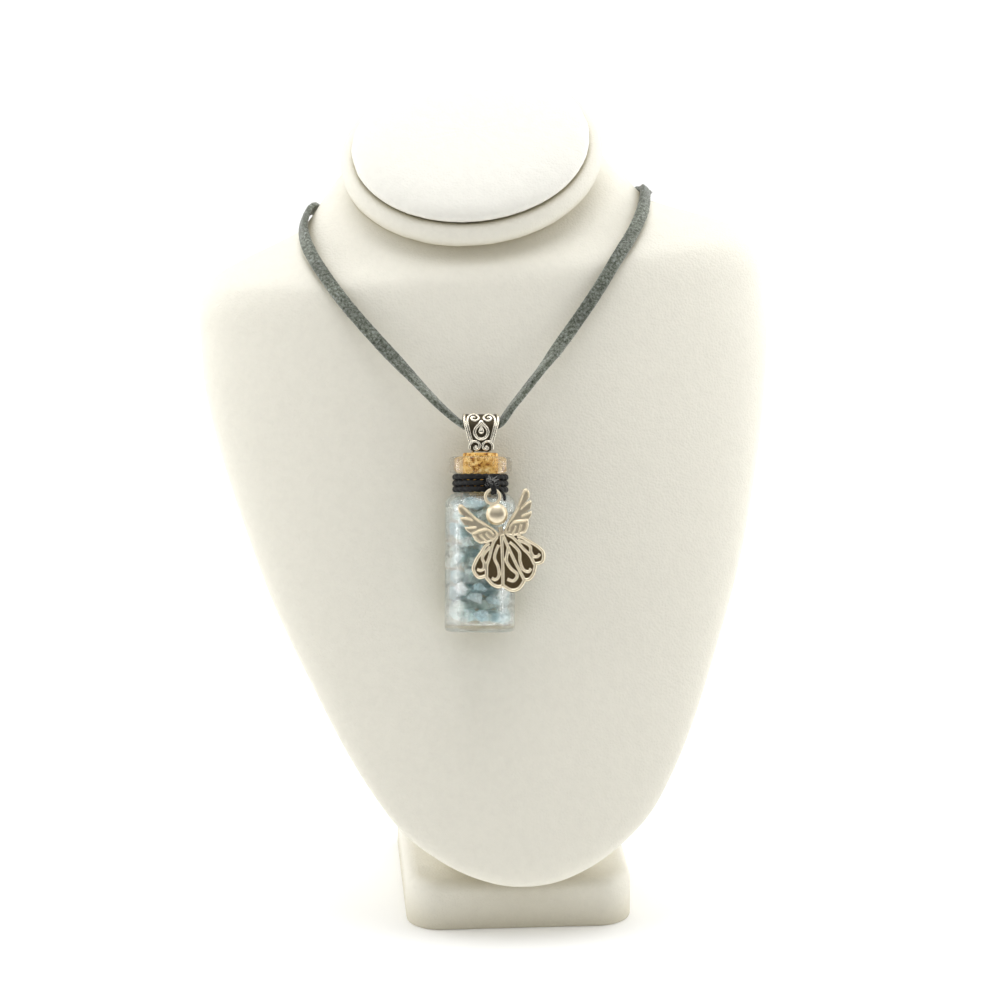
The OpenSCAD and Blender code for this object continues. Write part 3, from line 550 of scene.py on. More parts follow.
def silver_of(name, bright, dull, dark, shine, flat_rough, reach):
    """Cast and darkened metal: polished where it is raised, matt on the flats, and black
    with patina in its corners."""
    finish, tree, shader = new_finish(name)
    place = place_of(tree)
    corner = node_of(tree, "AmbientOcclusion", {"Distance": reach}, samples=12, only_local=True)
    raised = marked(tree, "raised")
    rough_cast = grain(tree, place, 1400.0, 4.0, 0.6)
    stain = grain(tree, place, 260.0, 3.0, 0.6)
    metal = times(tree, blend_of(tree, raised, dull, bright),
                  shades(tree, rough_cast, [(0.3, 0.86), (0.65, 1.0)]))
    stained = blend_of(tree, 0.16, corner.outputs["AO"], stain, "OVERLAY")
    patina = shades(tree, stained, [(0.38, 0.0), (0.74, 1.0)])
    gloss = node_of(tree, "MapRange", {"Value": raised, "To Min": flat_rough, "To Max": shine})
    put(tree, shader, {"Base Color": blend_of(tree, patina, dark, metal),
                       "Metallic": shades(tree, patina, [(0.0, 0.35), (0.5, 1.0)]),
                       "Roughness": gloss.outputs[0],
                       "Normal": relief_of(tree, rough_cast, 0.16, 0.00008)})
    return finish


def curve_mesh(name, marks, closed, **settings):
    """A curve through marks in metres, turned into a mesh."""
    line = bpy.data.curves.new(name, "CURVE")
    for key, value in settings.items():
        setattr(line, key, value)
    spline = line.splines.new("POLY")
    spline.points.add(len(marks) - 1)
    spline.use_cyclic_u = closed
    for point, mark in zip(spline.points, marks):
        point.co = (*mark, 1.0)
    made = bpy.data.objects.new(name, line)
    bpy.context.collection.objects.link(made)
    pick(made)
    bpy.ops.object.convert(target="MESH")
    return bpy.context.object


def bead(points, radius, closed=False):
    """A round wire along points in mm, as a closed mesh in metres."""
    return curve_mesh("bead", [Vector(p) * MM for p in points], closed, dimensions="3D",
                      bevel_depth=radius * MM, bevel_resolution=3, use_fill_caps=True)


def ball(centre, radii):
    bpy.ops.mesh.primitive_uv_sphere_add(segments=24, ring_count=16, radius=1.0,
                                         location=Vector(centre) * MM)
    made = bpy.context.object
    made.scale = Vector(radii) * MM
    bpy.ops.object.transform_apply(location=True, rotation=True, scale=True)
    return made


def join_up(name, parts):
    pick(*parts)
    bpy.ops.object.join()
    piece = bpy.context.object
    piece.name = piece.data.name = name
    return piece


def cast_from(name, parts, cell, rounds):
    piece = join_up(name, parts)
    take_modifier(piece, "REMESH", mode="VOXEL", voxel_size=cell * MM, use_smooth_shade=True)
    take_modifier(piece, "SMOOTH", factor=0.5, iterations=rounds)
    return piece


def mark_raised(piece, height_of):
    marks = piece.data.attributes.new("raised", "FLOAT", "POINT")
    marks.data.foreach_set("value", [height_of(v.co) for v in piece.data.vertices])


def on_strap(x, z, lift):
    """A point over the bail's front: flat below the cord, bent back above it."""
    if z <= 0:
        return (x, -(turn_r + lift), z)
    a = math.asin(min(z / (turn_r + 0.2), 1.0))
    return (x, -(turn_r + lift) * math.cos(a), (turn_r + lift) * math.sin(a))


def front_half(z):
    marks = [(-5.4, bail_foot_w / 2 - 1.0), (-5.0, bail_foot_w / 2 - 0.35),
             (-4.3, bail_foot_w / 2), (-3.4, bail_foot_w / 2 - 0.1), (-3.0, bail_foot_w / 2 - 0.05),
             (1.2, bail_w / 2), (4.0, bail_w / 2)]
    for (z0, w0), (z1, w1) in zip(marks, marks[1:]):
        if z <= z1:
            return w0 + (w1 - w0) * max(0.0, (z - z0) / (z1 - z0))
    return marks[-1][1]


def back_half(z):
    if z > 0.5:
        return bail_w / 2
    if z > -1.6:
        t = (0.5 - z) / 2.1
        return bail_w / 2 + (bar_w / 2 - bail_w / 2) * t * t * (3 - 2 * t)
    return bar_w / 2


def strap_of(way):
    """A closed strip 0.8 mm thick along (y, z, half width) marks, in the bail's side view."""
    points = []
    for i, (y, z, half) in enumerate(way):
        before, after = way[max(i - 1, 0)], way[min(i + 1, len(way) - 1)]
        along = Vector((after[0] - before[0], after[1] - before[1])).normalized()
        side = Vector((-along.y, along.x)) * bail_t / 2
        for sx, sn in ((-1, -1), (1, -1), (1, 1), (-1, 1)):
            points.append(Vector((sx * half, y + sn * side.x, z + sn * side.y)) * MM)
    piece = keep_mesh("strap", points, ring_skin(len(way), 4))
    outward(piece)
    return piece


mid_r = bail_r + bail_t / 2
way = [(-mid_r, -bail_drop + 0.15 * i, front_half(-bail_drop + 0.15 * i)) for i in range(36)]
way += [(-y, z, bail_w / 2) for y, z in arc_of((0, 0), mid_r, 0, 180, 30)]
low_z, low_r = bar_z + bail_t / 2 + 0.9, 0.9 + bail_t / 2
for i in range(1, 14):
    t = i / 14
    way.append((mid_r + (low_r - mid_r) * t, low_z * t, back_half(low_z * t)))
way += [(y, low_z - z, bar_w / 2) for y, z in arc_of((0, 0), low_r, 0, 180, 12)]
way += [(-low_r - (mid_r - low_r) * t, low_z * (1 - t), bar_w / 2) for t in (0.2, 0.4, 0.6, 0.8)]
bail_parts = [strap_of(way)]


def ridge(marks, radius):
    return bead([on_strap(x, z, ridge_sink) for x, z in smooth_table(marks, ridge_steps)], radius)


def sided(marks, side):
    return [(side * x, z) for x, z in marks]


def metres(profile):
    return [(r * MM, z * MM) for r, z in profile]


drop_side = [(0.0, 1.58), (-0.34, 1.02), (-0.80, 0.42), (-1.26, -0.18), (-1.52, -0.86),
             (-1.43, -1.55), (-1.02, -2.16), (-0.48, -2.50), (0.0, -2.60)]
bail_parts.append(ridge(drop_side + sided(drop_side[:-1][::-1], -1), 0.42))
seed_drop = revolved("seed_drop", metres(
    [(0, -1.50), (0.42, -1.40), (0.70, -1.05), (0.72, -0.72), (0.56, -0.25), (0.32, 0.25),
     (0.14, 0.62), (0, 0.85)]), 24, oval=0.62)
seed_drop.data.transform(Matrix.Translation((0, -turn_r * MM, 0)))
bail_parts.append(seed_drop)
rail = [(2.62, -3.35), (2.86, -2.4), (3.20, -1.0), (3.62, 0.6), (3.84, 1.7), (3.84, 2.6),
        (3.80, 3.2)]
top_scroll = [(2.10, -2.95), (2.38, -2.1), (2.72, -0.8), (3.06, 0.6), (3.16, 1.7), (2.96, 2.55),
              (2.45, 3.05), (1.72, 3.25), (0.98, 3.02), (0.56, 2.50), (0.72, 1.98), (1.30, 1.68),
              (1.98, 1.82), (2.28, 2.25), (2.00, 2.62), (1.62, 2.52)]
low_scroll = [(2.56, -5.00), (2.62, -4.30), (2.40, -3.62), (1.86, -3.20), (1.22, -3.14),
              (0.60, -3.45), (0.34, -4.05), (0.52, -4.70), (1.04, -4.98), (1.50, -4.78),
              (1.50, -4.36)]
for s in (-1, 1):
    bail_parts += [
        ridge(sided(rail, s), 0.30), ridge(sided(top_scroll, s), 0.28),
        ball(on_strap(s * 1.62, 2.45, ridge_sink), (0.36, 0.36, 0.36)),
        bead([(s * 3.82, -y, z) for y, z in arc_of((0, 0), turn_r, 66, 180, 19)]
             + [(s * 3.7, turn_r - 0.06, -0.2)], 0.26),
        ridge(sided(low_scroll, s), 0.30),
        ball(on_strap(s * 1.20, -4.38, ridge_sink), (0.38, 0.38, 0.38))]
bail = cast_from("scroll_bail", bail_parts, bail_cell, bail_rounds)


def bail_height(co):
    p = co / MM
    out = math.hypot(p.y, max(p.z, 0.0)) if p.y < 0 or p.z > 0 else turn_r + 0.1
    return min(1.0, max(0.0, (out - turn_r - 0.03) / 0.2))


mark_raised(bail, bail_height)
bail.data.transform(on_pendant)
antique = silver_of("antique_silver_bail", (0.97, 0.91, 0.77), (0.085, 0.070, 0.045),
                    (0.012, 0.009, 0.006), 0.24, 0.5, 0.0011)
bail.data.materials.append(antique)
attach(bail, "pendant")
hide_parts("bail")

# Screw eye: one bent and plated steel wire, a ring closed round the bail's bar on a pointed
# screw, which is turned into the cork.
eye_r, eye_wire, screw_len, screw_r = 1.8, 0.8, 5.5, 0.5
eye_z = bar_z + bail_t / 2 - (eye_r - eye_wire / 2) + 0.25
eye_low = eye_z - eye_r
screw_end = eye_low - screw_len
ring_way = [(y, 0, z) for y, z in arc_of((0, eye_z), eye_r, -90, 252, 57)]
shank_way = [(0, 0, eye_low), (0, 0, screw_end + 1.0)]
thread_way = []
for k in range(146):
    t = 0.4 * k
    out, fade = 0.08 + screw_r - 0.12, min(1, (60 - t) / 6)
    thread_way.append((out * math.cos(t) * fade, out * math.sin(t) * fade,
                       eye_low - 0.6 - t / (2 * math.pi) * 0.48))
point = revolved("point", metres([(0, screw_end), (0.06, screw_end), (0.33, screw_end + 1.1),
                                  (0, screw_end + 1.1)]), 16)
screw_eye = join_up("screw_eye_wire", [bead(ring_way, eye_wire / 2), bead(shank_way, 0.34),
                                       bead(thread_way, 0.11), point])
soften(screw_eye, 40)
screw_eye.data.transform(on_pendant)
screw_eye.data.materials.append(steel)
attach(screw_eye, "pendant")
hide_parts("screw_eye")

# Cork: a stopper ground from natural cork, golden tan with dark pores. It is pressed into the
# bottle's neck and stands a little over the lip.
lip_top = -(bail_drop + 0.25 + 0.9)
cork_top, cork_len, cork_r = lip_top + 0.9, 9.0, 4.05
cork_foot = cork_top - cork_len
cork_profile = [(r, cork_foot) for r in (0, 1.5, 3.0, 3.7)] + [(cork_r, cork_foot + 0.25)]
cork_profile += [(cork_r, cork_foot + 0.25 + 0.2 * k) for k in range(1, 42)]
cork_profile += [(cork_r - 0.06, cork_top - 0.2), (cork_r - 0.25, cork_top - 0.05),
                 (cork_r - 0.5, cork_top)]
cork_profile += [(r, cork_top) for r in (3.1, 2.7, 2.3, 1.9, 1.5, 1.1, 0.7, 0.35, 0)]


def pitted(r, z, a):
    p = Vector((r * math.cos(a), r * math.sin(a), z)) / MM
    pit = max(0.0, noise.noise(p * 1.3 + Vector((7, 1, 3))) - 0.30) * 0.42
    crumb = 0.03 * noise.noise(p * 4.0)
    side = min(1.0, r / MM / 3.6)
    if z / MM > cork_top - 0.02 or z / MM < cork_foot + 0.02:
        return r, z - MM * (pit + abs(crumb)) * (1 if z / MM > cork_top - 1 else -1)
    return r - MM * (pit * 0.5 + abs(crumb)) * side, z


cork = revolved("cork_stopper", metres(cork_profile), 96, pitted, stand=on_pendant)
soften(cork)
cork_finish, tree, shader = new_finish("cork_natural")
place = place_of(tree)
crumbs = node_of(tree, "TexVoronoi", {"Vector": place, "Scale": 1500.0})
tan = shades(tree, crumbs.outputs["Color"], [
    (0.15, (0.64, 0.33, 0.06)), (0.5, (0.86, 0.53, 0.14)), (0.9, (0.98, 0.74, 0.33))])
pores = grain(tree, place, 1150.0, 3.0, 0.65)
speck = shades(tree, pores, [(0.34, (0.13, 0.05, 0.012)), (0.42, (0.62, 0.38, 0.15)), (0.48, 1.0)])
put(tree, shader, {"Base Color": times(tree, tan, speck), "Roughness": 0.85,
                   "Normal": relief_of(tree, pores, 0.6, 0.00025)})
cork.data.materials.append(cork_finish)
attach(cork, "pendant")
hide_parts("cork")

# Bottle: a clear glass vial with a thick turned lip, a narrow neck, a round shoulder, a wall
# of 0.9 mm and a heavy foot with a slight push-up.
bottle_r, bottle_h, lip_r, lip_h, neck_r, neck_h = 8.0, 40.0, 7.15, 3.9, 5.0, 4.3
bore_r, wall, base_t, shoulder_r, lip_edge, base_edge = 4.0, 0.9, 1.5, 3.0, 0.9, 1.2
neck_top = lip_top - lip_h
body_top = neck_top - neck_h - shoulder_r
foot_z = lip_top - bottle_h
outside = ([(0, foot_z + 0.40), (2.5, foot_z + 0.36), (4.6, foot_z + 0.22), (5.7, foot_z + 0.06),
            (6.3, foot_z)]
           + arc_of((bottle_r - base_edge, foot_z + base_edge), base_edge, -90, 0, 8)[1:]
           + [(bottle_r, foot_z + 4), (bottle_r, body_top - 3)]
           + arc_of((bottle_r - shoulder_r, body_top), shoulder_r, 0, 82, 14)
           + [(neck_r + 0.12, body_top + shoulder_r + 0.10), (neck_r, body_top + shoulder_r + 0.4),
              (neck_r, neck_top - 0.25), (neck_r + 0.2, neck_top - 0.04)]
           + arc_of((lip_r - lip_edge, neck_top + lip_edge), lip_edge, -88, 0, 8)
           + arc_of((lip_r - lip_edge, lip_top - lip_edge), lip_edge, 0, 90, 8))
inside = ([(bore_r + 0.3, lip_top), (bore_r + 0.08, lip_top - 0.08), (bore_r, lip_top - 0.3),
           (bore_r, body_top + shoulder_r - wall + 0.5),
           (bore_r + 0.15, body_top + shoulder_r - wall + 0.12)]
          + arc_of((bottle_r - shoulder_r, body_top), shoulder_r - wall, 88, 0, 12)
          + [(bottle_r - wall, body_top - 3), (bottle_r - wall, foot_z + 5)]
          + arc_of((bottle_r - wall - base_edge, foot_z + base_t + base_edge), base_edge, 0, -90, 8)
          + [(4.0, foot_z + base_t + 0.05), (0, foot_z + base_t + 0.15)])
bottle = revolved("glass_bottle", metres(outside + inside), 128, stand=on_pendant)
soften(bottle, 50)
glass, tree, shader = new_finish("glass_clear")
ripple = grain(tree, place_of(tree), 130.0, 1.0, 0.4)
put(tree, shader, {"Base Color": (0.99, 1.0, 1.0), "Alpha": 0.5, "Transmission Weight": 1.0,
                   "IOR": 1.47, "Roughness": 0.0,
                   "Normal": relief_of(tree, ripple, 0.06, 0.0003)})
bottle.data.materials.append(glass)
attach(bottle, "pendant")
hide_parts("bottle")

# Crystal chips: rough broken pieces of pale aqua crystal with blunted edges, milky in places.
# They lie loose in the glass from its floor to the neck.
aqua, tree, shader = new_finish("aqua_crystal")
place = place_of(tree)
milky = grain(tree, place, 210.0, 3.0, 0.55)
flaws = grain(tree, place, 900.0, 3.0, 0.6)
body_tone = shades(tree, marked(tree, "stone_tone"), [
    (0.0, (0.66, 0.82, 0.85)), (0.35, (0.80, 0.90, 0.87)), (0.7, (0.84, 0.92, 0.84)),
    (1.0, (0.98, 0.99, 0.97))])
cloud = shades(tree, milky, [(0.35, (0.86, 0.93, 0.95)), (0.65, 1.0)])
put(tree, shader, {"Base Color": times(tree, body_tone, cloud), "Transmission Weight": 0.25,
                   "IOR": 1.5, "Subsurface Weight": 0.4, "Subsurface Radius": (0.9, 1.0, 1.0),
                   "Subsurface Scale": 0.0015,
                   "Roughness": shades(tree, flaws, [(0.35, 0.12), (0.65, 0.38)]),
                   "Normal": relief_of(tree, flaws, 0.35, 0.00025)})

stone_luck = random.Random(11)
chip_room = (bottle_r - wall - 0.04, foot_z + base_t + 0.22, body_top + shoulder_r - wall - 0.2,
             cork_foot - 0.12)
layers, outer_chips, inner_chips, outer_ring, inner_ring = 9, 9, 4, 5.6, 2.4
first_layer = foot_z + base_t + 2.2
chip_corners, chip_edge = 13, 0.09


def stone_room(p):
    """Keeps a point in mm inside the glass and under the cork."""
    out, low, top, cork_low = chip_room
    r = math.hypot(p.x, p.y)
    z = max(low, min(top, p.z))
    if r < bore_r + 0.3:
        z = min(z, cork_low)
    widest = out
    if z > body_top:
        widest = bottle_r - shoulder_r + math.sqrt(max(0.0, (shoulder_r - wall - 0.12) ** 2
                                                       - (z - body_top) ** 2))
    if z < foot_z + base_t + base_edge:
        widest = bottle_r - wall - base_edge + math.sqrt(max(0.0, (base_edge - 0.1) ** 2 - (
            foot_z + base_t + base_edge - z) ** 2))
    if r > widest:
        p = Vector((p.x * widest / r, p.y * widest / r, p.z))
    return Vector((p.x, p.y, z))


stone_shape = bmesh.new()
stone_tones = []
stone_places = []
layer_step = (body_top - 0.3 - first_layer) / (layers - 1)
for j in range(layers):
    for i in range(outer_chips):
        a = 2 * math.pi * (i + 0.4 * j) / outer_chips + stone_luck.uniform(-0.12, 0.12)
        stone_places.append((outer_ring, a, first_layer + j * layer_step
                             + stone_luck.uniform(-1.1, 1.1), stone_luck.uniform(1.9, 2.6)))
    for i in range(inner_chips):
        a = 2 * math.pi * (i + 0.3 * j) / inner_chips
        stone_places.append((inner_ring, a, first_layer + j * layer_step * 0.92, 2.0))
for out, a, z, size in stone_places:
    centre = Vector((out * math.cos(a), out * math.sin(a), z))
    spin = Matrix.Rotation(stone_luck.uniform(0, 6.28), 3, "Z") @ Matrix.Rotation(
        stone_luck.uniform(0, 6.28), 3, "X")
    long, flat = stone_luck.uniform(1.0, 1.35), stone_luck.uniform(0.62, 0.95)
    corners = []
    for k in range(chip_corners):
        d = Vector((stone_luck.gauss(0, 1), stone_luck.gauss(0, 1), stone_luck.gauss(0, 1)))
        d = d.normalized() * size * stone_luck.uniform(0.86, 1.12)
        p = spin @ Vector((d.x * long, d.y * flat, d.z * 0.85))
        corners.append(stone_shape.verts.new(stone_room(centre + p) * MM))
    hull = bmesh.ops.convex_hull(stone_shape, input=corners)
    spare = list({g for g in hull["geom_interior"] + hull["geom_unused"]
                  if isinstance(g, bmesh.types.BMVert) and g.is_valid})
    bmesh.ops.delete(stone_shape, geom=spare, context="VERTS")
    tone_value = stone_luck.random()
    stone_tones += [tone_value] * (len(stone_shape.verts) - len(stone_tones))
chips_mesh = bpy.data.meshes.new("raw_crystals")
tone_layer = stone_shape.verts.layers.float.new("stone_tone")
for vert, value in zip(stone_shape.verts, stone_tones):
    vert[tone_layer] = value
bmesh.ops.bevel(stone_shape, geom=stone_shape.edges[:], offset=chip_edge * MM, segments=1,
                affect="EDGES", clamp_overlap=True)
bmesh.ops.recalc_face_normals(stone_shape, faces=stone_shape.faces)
stone_shape.to_mesh(chips_mesh)
stone_shape.free()
chips = bpy.data.objects.new("raw_crystals", chips_mesh)
bpy.context.collection.objects.link(chips)
chips.data.transform(on_pendant)
chips.data.materials.append(aqua)
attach(chips, "pendant")
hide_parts("crystal_chips")

# Neck thread: black waxed thread, two plies twisted, wound three times round the glass neck
# and knotted in front. Its loop holds the charm's ring, and its cut end hangs at the right.
waxed, tree, shader = new_finish("waxed_thread")
place = place_of(tree)
fibre = grain(tree, place, 2600.0, 3.0, 0.65)
smear = grain(tree, place, 420.0, 2.0, 0.5)
strand_tone = shades(tree, fibre, [(0.30, 0.003), (0.60, 0.009), (0.80, 0.05)])
put(tree, shader, {
    "Base Color": times(tree, strand_tone, shades(tree, smear, [(0.35, 0.6), (0.7, 1.5)])),
    "Roughness": 0.5, "Specular IOR Level": 0.25,
    "Normal": relief_of(tree, fibre, 0.7, 0.00012)})

frayed, tree, shader = new_finish("frayed_thread")
put(tree, shader, {"Base Color": (0.30, 0.30, 0.29), "Roughness": 0.8})
strand_round, ply_dent = 20, 0.38


def twisted(name, marks, radius, pitch):
    """Two plies twisted along marks in mm: round, with a dent on both sides between them."""
    points = []
    gone = 0.0
    upright = Vector((0.13, 0.21, 0.97))
    for i, mark in enumerate(marks):
        along = (marks[min(i + 1, len(marks) - 1)] - marks[max(i - 1, 0)]).normalized()
        side = along.cross(upright)
        if side.length < 0.05:
            side = along.orthogonal()
        side.normalize()
        over = side.cross(along)
        if i:
            gone += (mark - marks[i - 1]).length
        for k in range(strand_round):
            a = 2 * math.pi * k / strand_round
            lobe = abs(math.sin(a + 2 * math.pi * gone / pitch))
            r = radius * (1 - ply_dent + ply_dent * lobe ** 0.6)
            r *= 1 + 0.07 * noise.noise(mark * 1.7 + Vector((math.cos(a), math.sin(a), 0)) * 0.6)
            points.append((mark + r * (math.cos(a) * side + math.sin(a) * over)) * MM)
    piece = keep_mesh(name, points, ring_skin(len(marks), strand_round))
    outward(piece)
    piece.data.materials.append(waxed)
    return piece


thread_d, turn_step, thread_gap, turn_marks = 1.35, 1.40, 0.05, 150
stray_count, loop_strays = 46, 7
wind_r = neck_r + thread_gap + thread_d / 2
wind_top = neck_top - thread_gap - thread_d / 2 - 0.02
winding = []
for k in range(3):
    ring = []
    for i in range(turn_marks):
        a = 2 * math.pi * i / turn_marks
        sway = 0.05 * noise.noise(Vector((math.cos(a) * 2, math.sin(a) * 2, k * 3.1)))
        ring.append(Vector((wind_r * math.cos(a), wind_r * math.sin(a),
                            wind_top - k * turn_step + sway)))
    ring.append(ring[0])
    winding.append(twisted("turn", ring, thread_d / 2 + 0.06, 2 * math.pi * wind_r / 11))
charm_x, charm_y, ring_z = 2.4, -(bottle_r + 0.3 + 0.45), neck_top - 5.35
ring_wire, ring_mid = 0.75, 4.0 / 2 - 0.375
ring_top = ring_z + ring_mid
front = -wind_r


loop_marks = [(1.9, front - 1.3, ring_top + 1.7), (2.1, charm_y - 0.55, ring_top + 1.1),
              (2.35, charm_y - 0.86, ring_top + 0.35), (2.45, charm_y - 0.80, ring_top - 0.35),
              (2.45, charm_y - 0.30, ring_top - 0.78), (2.4, charm_y + 0.25, ring_top - 0.72),
              (2.35, charm_y + 0.66, ring_top - 0.15), (2.2, charm_y + 0.86, ring_top + 0.6),
              (2.0, charm_y + 1.05, ring_top + 1.5)]
# The knot's strands, each with its half thickness and the length of one twist in mm
strands = [
    ("cross_strand", 0.55, 2.0, [
        (0.9, front - 0.1, wind_top + 0.2), (1.5, front - 0.75, wind_top - 0.3),
        (1.9, front - 1.0, wind_top - 1.5), (2.2, front - 0.8, wind_top - 2.7),
        (2.4, front - 0.1, wind_top - 3.2)]),
    ("knot_low", 0.5, 1.8, [
        (2.9, front - 0.3, wind_top - 0.6), (1.9, front - 1.2, wind_top - 1.0),
        (1.2, front - 1.2, wind_top - 1.7), (1.7, front - 1.5, wind_top - 2.5),
        (2.6, front - 1.6, wind_top - 2.3), (2.8, front - 1.3, wind_top - 1.5),
        (2.1, front - 1.6, wind_top - 1.2), (1.5, front - 1.5, wind_top - 1.9)]),
    ("charm_loop", 0.42, 1.6, loop_marks),
    ("charm_loop_2", 0.36, 1.5, [(x + 0.55, y + 0.02, z + 0.05) for x, y, z in loop_marks]),
    ("cut_end", 0.34, 1.2, [
        (3.4, -4.75, wind_top - 2.3), (4.4, -4.55, wind_top - 3.0), (4.9, -5.3, wind_top - 3.6),
        (5.2, -6.5, wind_top - 4.4), (5.2, -7.2, wind_top - 5.3)])]
for name, radius, pitch, marks in strands:
    winding.append(twisted(name, [Vector(p) for p in smooth_table(marks, 10)], radius, pitch))
thread_luck = random.Random(5)
strays = []
for k in range(stray_count):
    a = thread_luck.uniform(-0.6, 1.0)
    start = Vector((thread_luck.uniform(1.2, 2.9), front - thread_luck.uniform(1.35, 1.75),
                    wind_top - thread_luck.uniform(0.4, 2.5)))
    lean = Vector((math.sin(a) * 1.2, -thread_luck.uniform(0.15, 0.5), math.cos(a) * 0.9))
    reach = thread_luck.uniform(0.5, 1.25)
    strays.append(bead([start, start + lean * reach * 0.5 + Vector((0, -0.12, 0)),
                        start + lean * reach + Vector((0.1, 0.1, -0.1))], 0.05))
for k in range(loop_strays):
    start = Vector(loop_marks[0]).lerp(Vector(loop_marks[2]), k / loop_strays)
    start += Vector((thread_luck.uniform(-0.4, 0.7), -0.35, 0))
    strays.append(bead([start, start + Vector((thread_luck.uniform(-0.5, 0.5), -0.25, 0.4)),
                        start + Vector((thread_luck.uniform(-0.8, 0.9), -0.3, 0.9))], 0.045))
for stray in strays:
    stray.data.materials.append(frayed)
neck_thread = join_up("waxed_winding", winding + strays)
soften(neck_thread)
neck_thread.data.transform(on_pendant)
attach(neck_thread, "pendant")
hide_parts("neck_thread")

# Angel charm: one flat casting in warm antique silver, with a blank domed head, two feathered
# wings, a skirt of five petals with curled ribs, and the ring that it hangs from.
charm_half, charm_len, charm_t, edge_round = 8.5, 22.2, 0.9, 0.12
charm_cell, charm_rounds, middle_rib, line_top = 0.095, 2, 0.40, 0.36
# Outlines and lines as shares of the half width and, downwards, of the length
wing = [(0.06, 0.374), (0.17, 0.318), (0.34, 0.245), (0.54, 0.169), (0.66, 0.100),
        (0.83, 0.004), (0.91, -0.008), (0.97, 0.022), (0.98, 0.060), (0.95, 0.096),
        (0.82, 0.133), (0.66, 0.172), (0.84, 0.135), (0.97, 0.122), (0.98, 0.152),
        (0.95, 0.178), (0.90, 0.215), (0.78, 0.232), (0.63, 0.254), (0.78, 0.238),
        (0.92, 0.232), (0.91, 0.257), (0.88, 0.278), (0.77, 0.322), (0.77, 0.342),
        (0.74, 0.387), (0.62, 0.441), (0.42, 0.446), (0.22, 0.437), (0.09, 0.420)]
skirt = [(0.00, 0.360), (0.10, 0.400), (0.40, 0.425), (0.52, 0.455), (0.65, 0.500),
         (0.84, 0.567), (0.98, 0.640), (1.00, 0.685), (0.98, 0.734), (0.89, 0.781),
         (0.77, 0.786), (0.70, 0.776), (0.69, 0.811), (0.60, 0.875), (0.48, 0.915),
         (0.38, 0.923), (0.31, 0.914), (0.22, 0.962), (0.11, 0.993), (0.00, 1.000)]
# Raised lines, each with half its width in mm
lines = [
    (0.24, [(0.91, 0.012), (0.83, 0.024), (0.67, 0.114), (0.54, 0.186), (0.34, 0.262),
            (0.18, 0.330), (0.12, 0.375), (0.14, 0.412), (0.23, 0.425), (0.42, 0.432),
            (0.60, 0.428)]),
    (0.17, [(0.95, 0.030), (0.955, 0.060), (0.925, 0.088)]),
    (0.19, [(0.94, 0.133), (0.83, 0.145), (0.66, 0.182)]),
    (0.19, [(0.90, 0.242), (0.78, 0.249), (0.63, 0.263)]),
    (0.22, [(0.75, 0.316), (0.56, 0.306), (0.38, 0.304), (0.27, 0.330), (0.21, 0.377)]),
    (0.26, [(0.73, 0.345), (0.69, 0.387), (0.60, 0.426)]),
    (0.26, [(0.56, 0.342), (0.51, 0.380), (0.44, 0.424)]),
    (0.26, [(0.41, 0.348), (0.36, 0.384), (0.28, 0.418)]),
    (0.42, [(0.02, 0.400), (0.10, 0.571), (0.20, 0.752), (0.295, 0.900)]),
    (0.42, [(0.14, 0.410), (0.28, 0.460), (0.46, 0.585), (0.59, 0.667), (0.65, 0.757),
            (0.68, 0.772)]),
    (0.44, [(0.38, 0.452), (0.51, 0.473), (0.63, 0.518), (0.81, 0.582), (0.935, 0.648),
            (0.953, 0.685), (0.93, 0.727), (0.865, 0.763), (0.77, 0.769), (0.69, 0.765)]),
    (0.46, [(0.68, 0.775), (0.64, 0.809), (0.565, 0.862), (0.46, 0.897), (0.38, 0.905),
            (0.30, 0.899)]),
    (0.46, [(0.30, 0.900), (0.20, 0.942), (0.10, 0.970), (0.00, 0.978)]),
    (0.40, [(0.38, 0.490), (0.55, 0.536), (0.655, 0.583), (0.64, 0.635), (0.68, 0.688),
            (0.78, 0.700), (0.86, 0.680)]),
    (0.40, [(0.15, 0.491), (0.26, 0.546), (0.34, 0.615), (0.30, 0.705), (0.33, 0.793),
            (0.45, 0.828), (0.535, 0.803)])]
middle_curl = [(0.10, 0.530), (0.00, 0.609), (-0.05, 0.672), (0.02, 0.754), (0.13, 0.812),
               (0.12, 0.852), (0.00, 0.882), (-0.14, 0.850)]


def plate(outline):
    """A flat blank cut to an outline, with its edges rounded over."""
    marks = [(x * charm_half * MM, -y * charm_len * MM, 0) for x, y in outline]
    blank = curve_mesh("blank", marks, True, dimensions="2D", fill_mode="BOTH",
                       extrude=(charm_t / 2 - edge_round) * MM, bevel_depth=edge_round * MM,
                       bevel_resolution=2, offset=-edge_round * MM)
    blank.data.transform(Matrix.Translation((0, 0, charm_t / 2 * MM)))
    outward(blank)
    return blank


def rib(marks, half, up):
    """A raised line on the charm's face, with its middle up mm over the back."""
    return bead(smooth_table([(x * charm_half, -y * charm_len, up) for x, y in marks],
                             ridge_steps), half)


